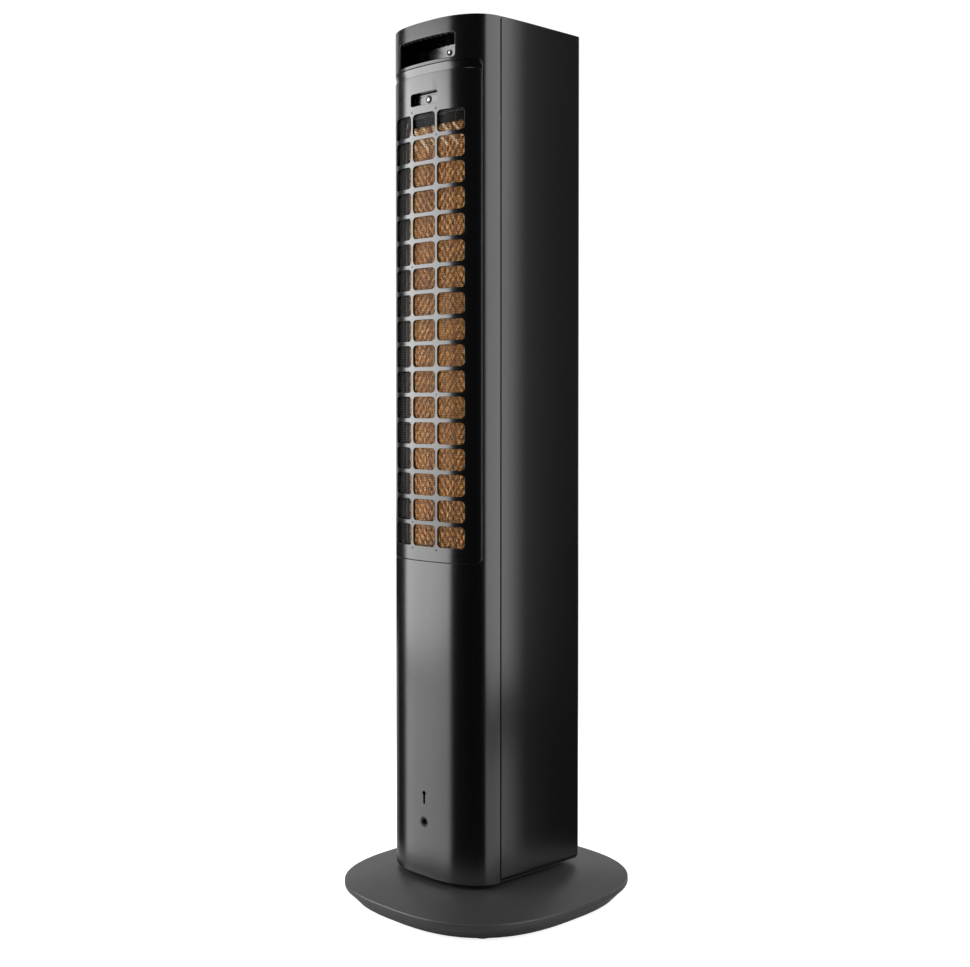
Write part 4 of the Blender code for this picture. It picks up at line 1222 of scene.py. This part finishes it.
def make_tank():
    front_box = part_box("tank_front")
    window_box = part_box("level_window")
    low, high = front_box
    slot = outline_of(window_box, 3.0 * MM, 0.3 * MM)
    pull = rounded((-TANK_PULL_HALF_X, TANK_PULL_HALF_X), TANK_PULL_Z, 5 * MM)
    pull_depth = 6 * MM
    face = upright_plate("tank_front_face", [outline_of(front_box, 2.5 * MM), slot, pull], low[1],
                         low[1] + pull_depth, MM)
    back = upright_plate("tank_front_back", [outline_of(front_box, 2 * MM, -MM), slot],
                         low[1] + pull_depth - 0.5 * MM, high[1], 0.5 * MM)
    finish_piece(joined("tank_front_panel", [face, back]), "tank", "body_plastic", ["tank_front"],
                 FLAT_CREASE)
    lens = upright_plate("level_window_lens", [outline_of(window_box, 2.8 * MM)],
                         window_box[0][1], window_box[1][1], 0.8 * MM)
    finish_piece(lens, "tank", "clear_plastic", ["level_window"])

    tank_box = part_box("tank")
    floor, rim = tank_box[0][2], tank_box[1][2]
    corner = 8.0 * MM
    skin = 2.5 * MM

    def loop(inset, height):
        return [(x, y, height) for x, y in outline_of(tank_box, corner - inset, -inset, up=1)]

    loops = [loop(6 * MM, floor), loop(2 * MM, floor + MM), loop(0.0, floor + 5 * MM),
             loop(0.0, rim - MM), loop(0.7 * MM, rim), loop(skin - 0.7 * MM, rim),
             loop(skin, rim - MM), loop(skin, floor + 6 * MM), loop(4 * MM, floor + 3.5 * MM),
             loop(7 * MM, floor + skin)]
    bm = bmesh.new()
    rod_into(bm, loops)
    finish_piece(object_from("tank_bin", bm), "tank", "clear_plastic", ["tank"])


# Blower.

def make_blower():
    """A tall cross-flow wheel: curved blades between discs and rings."""
    low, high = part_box("blower_wheel")
    centre = Vector(((low[0] + high[0]) / 2, (low[1] + high[1]) / 2, 0))
    radius = (high[0] - low[0]) / 2
    blades, discs = 34, 6
    disc_thickness = 3 * MM
    shaft_hole, ring_width = 4.3 * MM, 12 * MM
    bm = bmesh.new()
    for i in range(blades):
        turn = Matrix.Rotation(2 * math.pi * i / blades, 3, "Z")
        inner = [(radius - 11 * MM + 10 * MM * t, 4.2 * MM * math.sin(t * 1.9)) for t in
                 (0.0, 0.2, 0.4, 0.6, 0.8, 1.0)]
        section = inner + [(a + 0.2 * MM, b + 0.9 * MM) for a, b in reversed(inner)]
        rod_into(bm, [[centre + turn @ Vector((a, b, z)) for a, b in section]
                      for z in (low[2] + MM, high[2] - MM)])
    pieces = [object_from("blades", bm)]
    for i in range(discs):
        z = low[2] + (high[2] - low[2] - disc_thickness) * i / (discs - 1)
        inside = shaft_hole if i in (0, discs - 1) else radius - ring_width
        ring = [(radius, z + disc_thickness), (radius, z), (inside, z), (inside, z + disc_thickness)]
        pieces.append(turned("disc", ring, centre, sides=72))
    finish_piece(joined("blower_wheel_drum", pieces), "blower", "inner_plastic", ["blower_wheel"])


# Studio.

def area_light(name, place, aim, size, radiance):
    light = bpy.data.lights.new(name, "AREA")
    light.shape = "RECTANGLE"
    light.size, light.size_y = size
    light.energy = radiance * math.pi * size[0] * size[1]
    obj = linked(name, light)
    obj.location = place
    obj.rotation_mode = "QUATERNION"
    obj.rotation_quaternion = (Vector(aim) - Vector(place)).to_track_quat("-Z", "Y")
    obj.visible_camera = False


def around(angle, distance, height, centre=(0.0, 0.0)):
    turn = math.radians(angle)
    return (centre[0] + distance * math.cos(turn), centre[1] + distance * math.sin(turn), height)


def make_lights():
    area_light("left_softbox", around(49.5, 1.7, 0.98), (0, 0.08, 0.98), (1.54, 0.96), 9.0)
    area_light("left_top_softbox", around(49.5, 1.7, 1.86), (0, 0.08, 1.86), (1.54, 0.8), 2.2)
    area_light("left_low_softbox", around(49.5, 1.7, 0.26), (0, 0.08, 0.26), (1.54, 0.48), 5.9)
    area_light("right_softbox", around(193, 1.1, 1.0, (-0.08, 0.06)), (-0.08, 0.06, 1.0),
               (1.18, 1.9), 3.6)
    area_light("side_card", around(246, 1.8, 1.0), (0, 0, 0.7), (0.9, 2.0), 0.15)
    area_light("over_card", (0.9, -0.9, 2.6), (0, 0, 0), (1.6, 1.6), 1.3)
    area_light("front_softbox", around(264, 2.0, 1.2), (0, 0, 0.8), (1.1, 2.0), 1.6)
    area_light("back_card", around(325, 2.6, 1.8), (0, 0, 0.5), (3.6, 3.5), 0.75)
    area_light("high_key", around(110, 1.6, 2.6), (0, 0.1, 0.7), (0.7, 0.5), 9.0)


def make_world():
    """White where it is seen, dim where it lights and is mirrored."""
    world = bpy.data.worlds.new("studio")
    bpy.context.scene.world = world
    world.use_nodes = True
    tree = world.node_tree
    tree.nodes.clear()
    output = tree.nodes.new("ShaderNodeOutputWorld")
    mix = tree.nodes.new("ShaderNodeMixShader")
    rays = tree.nodes.new("ShaderNodeLightPath")
    for i, strength in enumerate((0.03, 1.05)):
        back = tree.nodes.new("ShaderNodeBackground")
        back.inputs["Strength"].default_value = strength
        back.inputs["Color"].default_value = (1, 1, 1, 1)
        tree.links.new(back.outputs[0], mix.inputs[i + 1])
    tree.links.new(rays.outputs["Is Camera Ray"], mix.inputs[0])
    tree.links.new(mix.outputs[0], output.inputs["Surface"])


def make_floor():
    """A pale floor with a faint contact shadow, which throws little light back up."""
    bm = bmesh.new()
    bmesh.ops.create_circle(bm, cap_ends=True, segments=96, radius=9.0)
    floor = object_from("studio_floor", bm)
    finish = Finish("studio_floor", (0.36, 0.36, 0.36), 0.12, metallic=1.0)
    paper = finish.node("BsdfDiffuse", None, {"Color": (0.5, 0.5, 0.5, 1.0)})
    reach = finish.node("VectorMath", {"operation": "LENGTH"}, {0: finish.place()}, output="Value")
    far = ramp(finish, reach, 0.26, 0.34)
    polished = Value(finish, finish.shader.outputs[0])
    dim = finish.node("MixShader", None, {0: far, 1: paper, 2: polished})
    seen = finish.node("BsdfPrincipled", None, {"Base Color": (0.5, 0.5, 0.5, 1.0), "Roughness": 0.8,
                                                "Emission Color": (1.0, 1.0, 1.0, 1.0),
                                                "Emission Strength": 0.8})
    plain = finish.node("Emission", None, {"Color": (1.0, 1.0, 1.0, 1.0)})
    seen = finish.node("MixShader", None, {0: ramp(finish, reach, 0.5, 1.3), 1: seen, 2: plain})
    rays = finish.node("LightPath", output="Is Camera Ray")
    both = finish.node("MixShader", None, {0: rays, 1: dim, 2: seen})
    finish.feed(finish.tree.nodes["Material Output"].inputs["Surface"], both)
    floor.data.materials.append(finish.material)


def make_camera():
    camera = bpy.data.cameras.new("camera")
    camera.lens = 52.84
    camera.sensor_width = 36.0
    camera.shift_y = -0.045
    camera.clip_start = 0.05
    camera.clip_end = 60.0
    obj = linked("camera", camera)
    obj.location = (-1.2967, 1.2940, 0.6301)
    heading, down = math.radians(-44.869), math.radians(1.372)
    look = Vector((math.cos(heading) * math.cos(down), math.sin(heading) * math.cos(down),
                   -math.sin(down)))
    obj.rotation_mode = "QUATERNION"
    obj.rotation_quaternion = look.to_track_quat("-Z", "Y")
    bpy.context.scene.camera = obj
    bpy.context.scene.view_settings.view_transform = "Standard"


for make in (dress_nodes, make_rear_shell, make_front_shell, make_rear_panel, make_dust_filter,
             make_cooling_pad, make_handle, make_grommet, make_base, make_outlet, make_top, make_tank,
             make_blower, make_world, make_floor, make_lights, make_camera):
    make()
